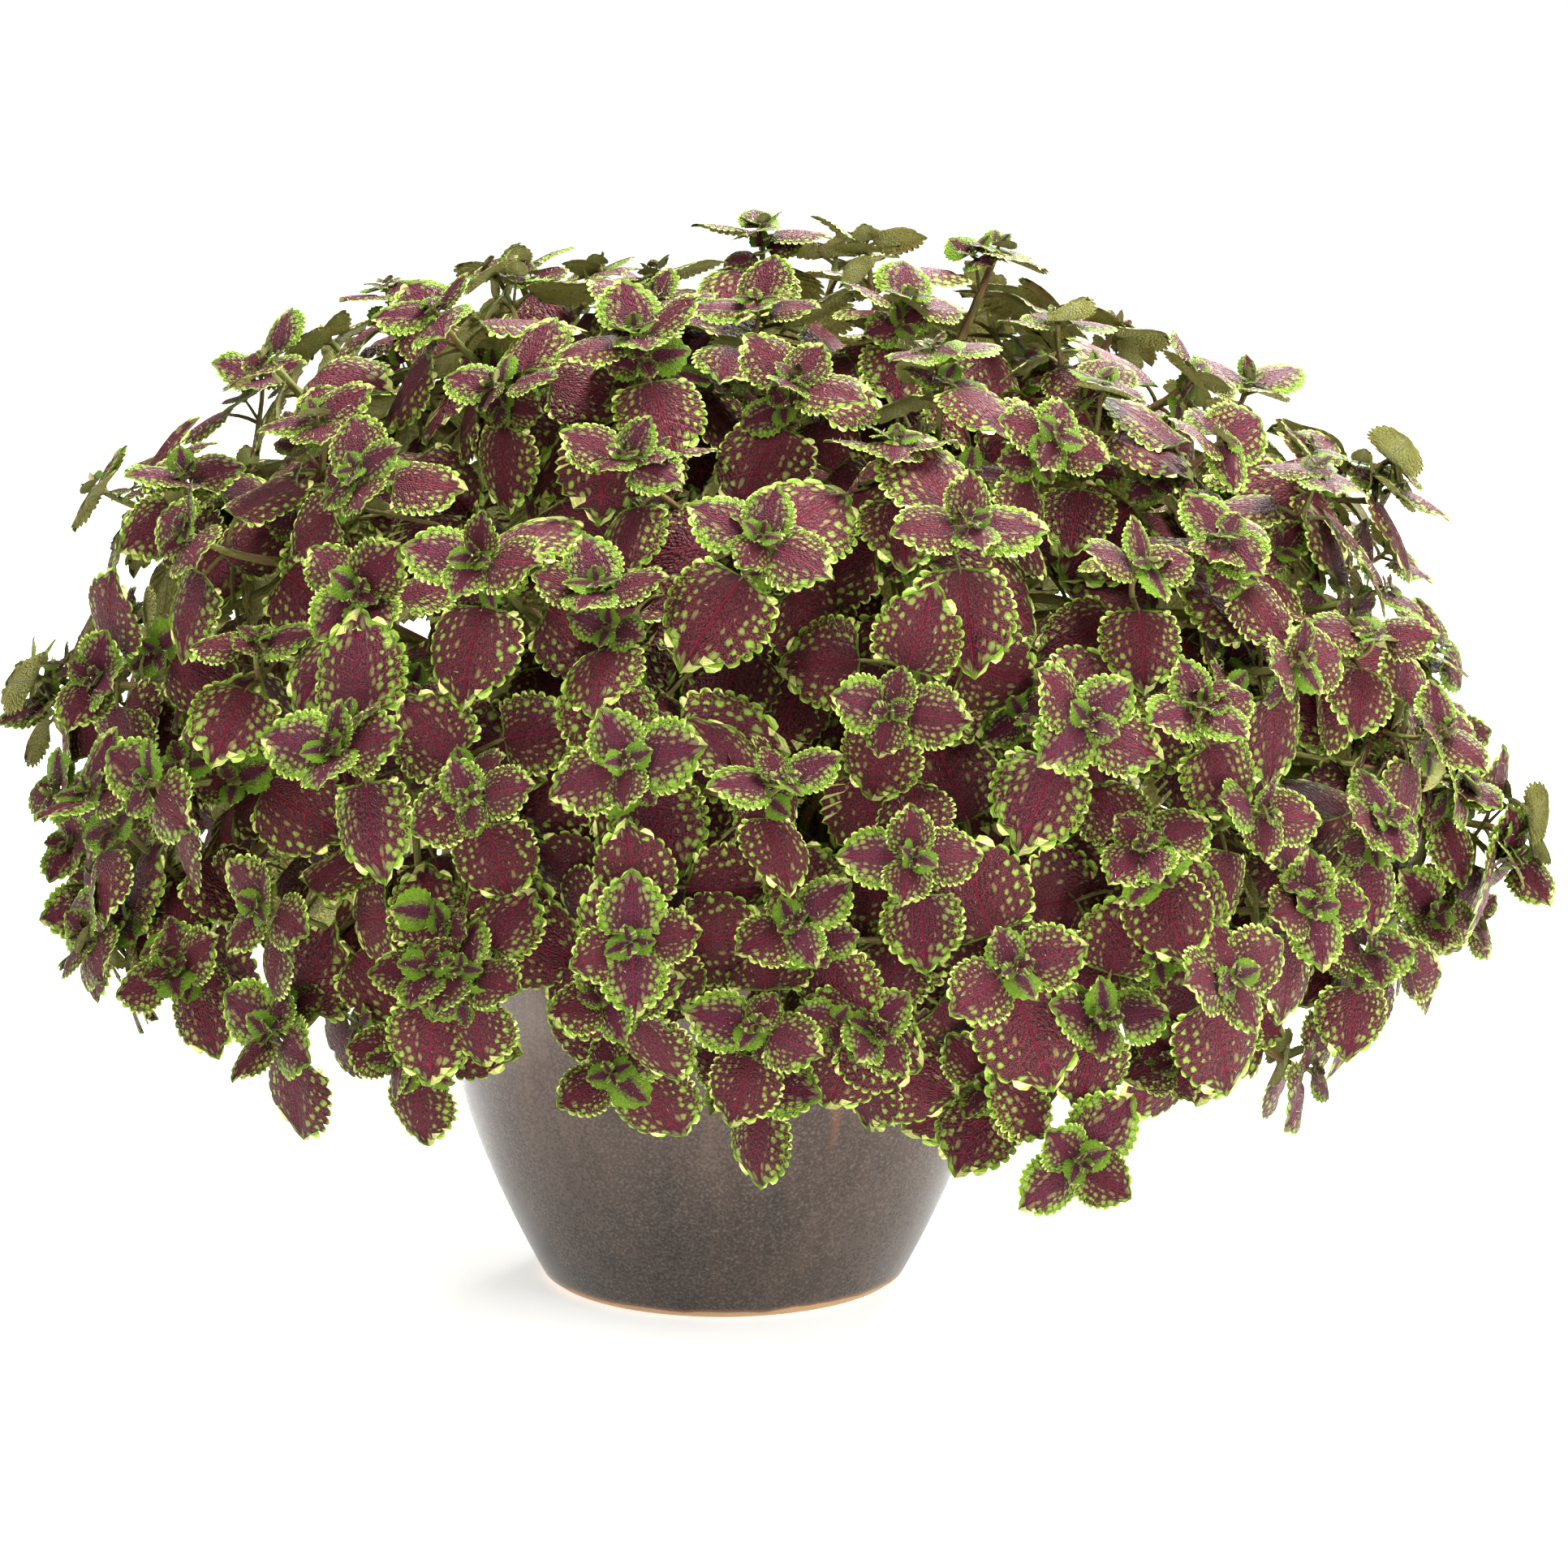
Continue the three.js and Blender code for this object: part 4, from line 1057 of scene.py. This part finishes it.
# The age of each pair's leaves, and the least length of each kind of blade.
AGES = {-3: 0, -2: 0, -1: 1, 0: 2, 1: 3, 2: 4, 3: 5, 4: 6, OLD: 6}
LEAST_BLADES = {"full": 44, "young": 24, "small": 12, "tiny": 0}
for i, shoots in enumerate(stems):
    points, faces, places, heights = [], [], [], []
    mine = [(leaf, pair, lot) for owner, leaf, pair, lot in leaves if owner == i]
    skins = [stem_skin(shoot) for shoot in shoots + [bud for bud in buds if bud.i == i]]
    skins += [stalk_skin(leaf) for leaf, pair, lot in mine]
    for more_points, more_faces, more_places in skins:
        height_of = {}
        for face, at in zip(more_faces, more_places):
            height_of.update({corner: height for corner, (_, height) in zip(face, at)})
        heights += [height_of[n] for n in range(len(more_points))]
        faces += [tuple(corner + len(points) for corner in face) for face in more_faces]
        points += more_points
        places += [place for face in more_places for place in face]
    bare = len(points)
    points += [leaf.base for leaf, pair, lot in mine]
    grown = plain_object(f"grown_stem_{i + 1:02d}", np.array(points) * 0.001, faces)
    inside = SHEET_EDGE + (1 - 2 * SHEET_EDGE) * np.array(places)
    corner = [STEM_SQUARE % SHEET, STEM_SQUARE // SHEET]
    layer = grown.data.uv_layers.new(name="OFBake")
    layer.data.foreach_set("uv", ((inside + corner) / SHEET).ravel())
    kind, size, lie = [0] * bare, [0.0] * bare, [1.0, 0, 0, 0] * bare
    for leaf, pair, lot in mine:
        shape = next(label for label, least in LEAST_BLADES.items() if leaf.blade > least)
        shape = "deep" if pair == OLD else shape
        youngest, oldest, _ = KINDS[shape]
        age = min(max(AGES[pair] + round(lot * 1.3), youngest), oldest)
        kind.append(blade_of[shape, age, int(abs(lot) * 37) % len(BENDS)])
        size.append(leaf.blade * 0.001)
        lie += list(Matrix(np.array([leaf.ahead, leaf.beside, leaf.normal]).T).to_quaternion())
    downy = [0.25 + 0.75 * height for height in heights] + [0.0] * len(mine)
    given_points = [("kind", "INT", kind), ("blade", "FLOAT", size), ("lie", "QUATERNION", lie)]
    for label, form, values in given_points + [("downy", "FLOAT", downy)]:
        grown.data.attributes.new(label, form, "POINT").data.foreach_set("value", values)
    grown = use_tree(grown, tree, {"Blades": blades, "Skin": leaf_skins[i % len(leaf_skins)], "Hair": hair,
                                   "Hairs Per Metre": HAIRS_PER_METRE, "Seed": i})
    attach(grown, "root")
    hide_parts(f"leafy_stem_{i + 1:02d}")
for blade in list(blades.objects) + [hair]:
    bpy.data.objects.remove(blade)
bpy.data.collections.remove(blades)

# The studio: a wide white floor, a white room, and four broad soft lamps round the plant.
FLOOR_PAINT = {"Base Color": (0.9, 0.9, 0.9, 1), "Roughness": 0.9, "Specular IOR Level": 0.1}
snow, shade, surface = new_material("floor_paint", {**FLOOR_PAINT, "Emission Strength": 0.72})
place = shade.node("TexCoord", output="Object")
off_pot = shade.node("VectorMath", {"operation": "LENGTH"}, {0: place}, "Value")
feed(surface, Emission_Color=off_pot.step(0.3, 2.0).mix((0.82, 0.82, 0.82, 1), (1, 1, 1, 1)))
floor = plain_object("floor", [(-14, -8, 0), (14, -8, 0), (14, 20, 0), (-14, 20, 0)], [(0, 1, 2, 3)], snow)
world = bpy.data.worlds.new("white_room")
bpy.context.scene.world = world
world.use_nodes = True
room = world.node_tree.nodes["Background"].inputs
room["Color"].default_value = (1, 1, 1, 1)
seen = Shade(world.node_tree).node("LightPath", output="Is Camera Ray")
world.node_tree.links.new((0.3 + seen * 0.8).socket, room["Strength"])
AIM = Vector((0.034, 0, 0.278))


def stand(name, data, place):
    """Puts a lamp or the camera in its place, turned to the plant."""
    made = bpy.data.objects.new(name, data)
    made.location = place
    made.rotation_euler = (AIM - made.location).to_track_quat("-Z", "Y").to_euler()
    bpy.context.scene.collection.objects.link(made)
    return made


LAMPS = {"key": ((-1.5, -2.2, 2.4), 1.2, 70), "fill": ((2.4, -2.0, 1.4), 1.4, 72),
         "top": ((0.9, 0.3, 3.0), 1.6, 275), "back": ((0.9, 2.6, 1.8), 1.6, 170)}
for name, (place, size, power) in LAMPS.items():
    lamp = bpy.data.lights.new(name, "AREA")
    lamp.shape, lamp.size, lamp.energy = "DISK", size, power
    stand(name, lamp, place)

CAMERA_FAR, VIEW_WIDE, TILT = 3.2, 0.869, math.radians(11.5)
camera = bpy.data.cameras.new("camera")
camera.sensor_width, camera.lens, camera.clip_end = 36, 36 * CAMERA_FAR / VIEW_WIDE, 60
eye = AIM + Vector((0, -math.cos(TILT), math.sin(TILT))) * CAMERA_FAR
bpy.context.scene.camera = stand("camera", camera, eye)
bpy.context.scene.view_settings.view_transform = "Standard"
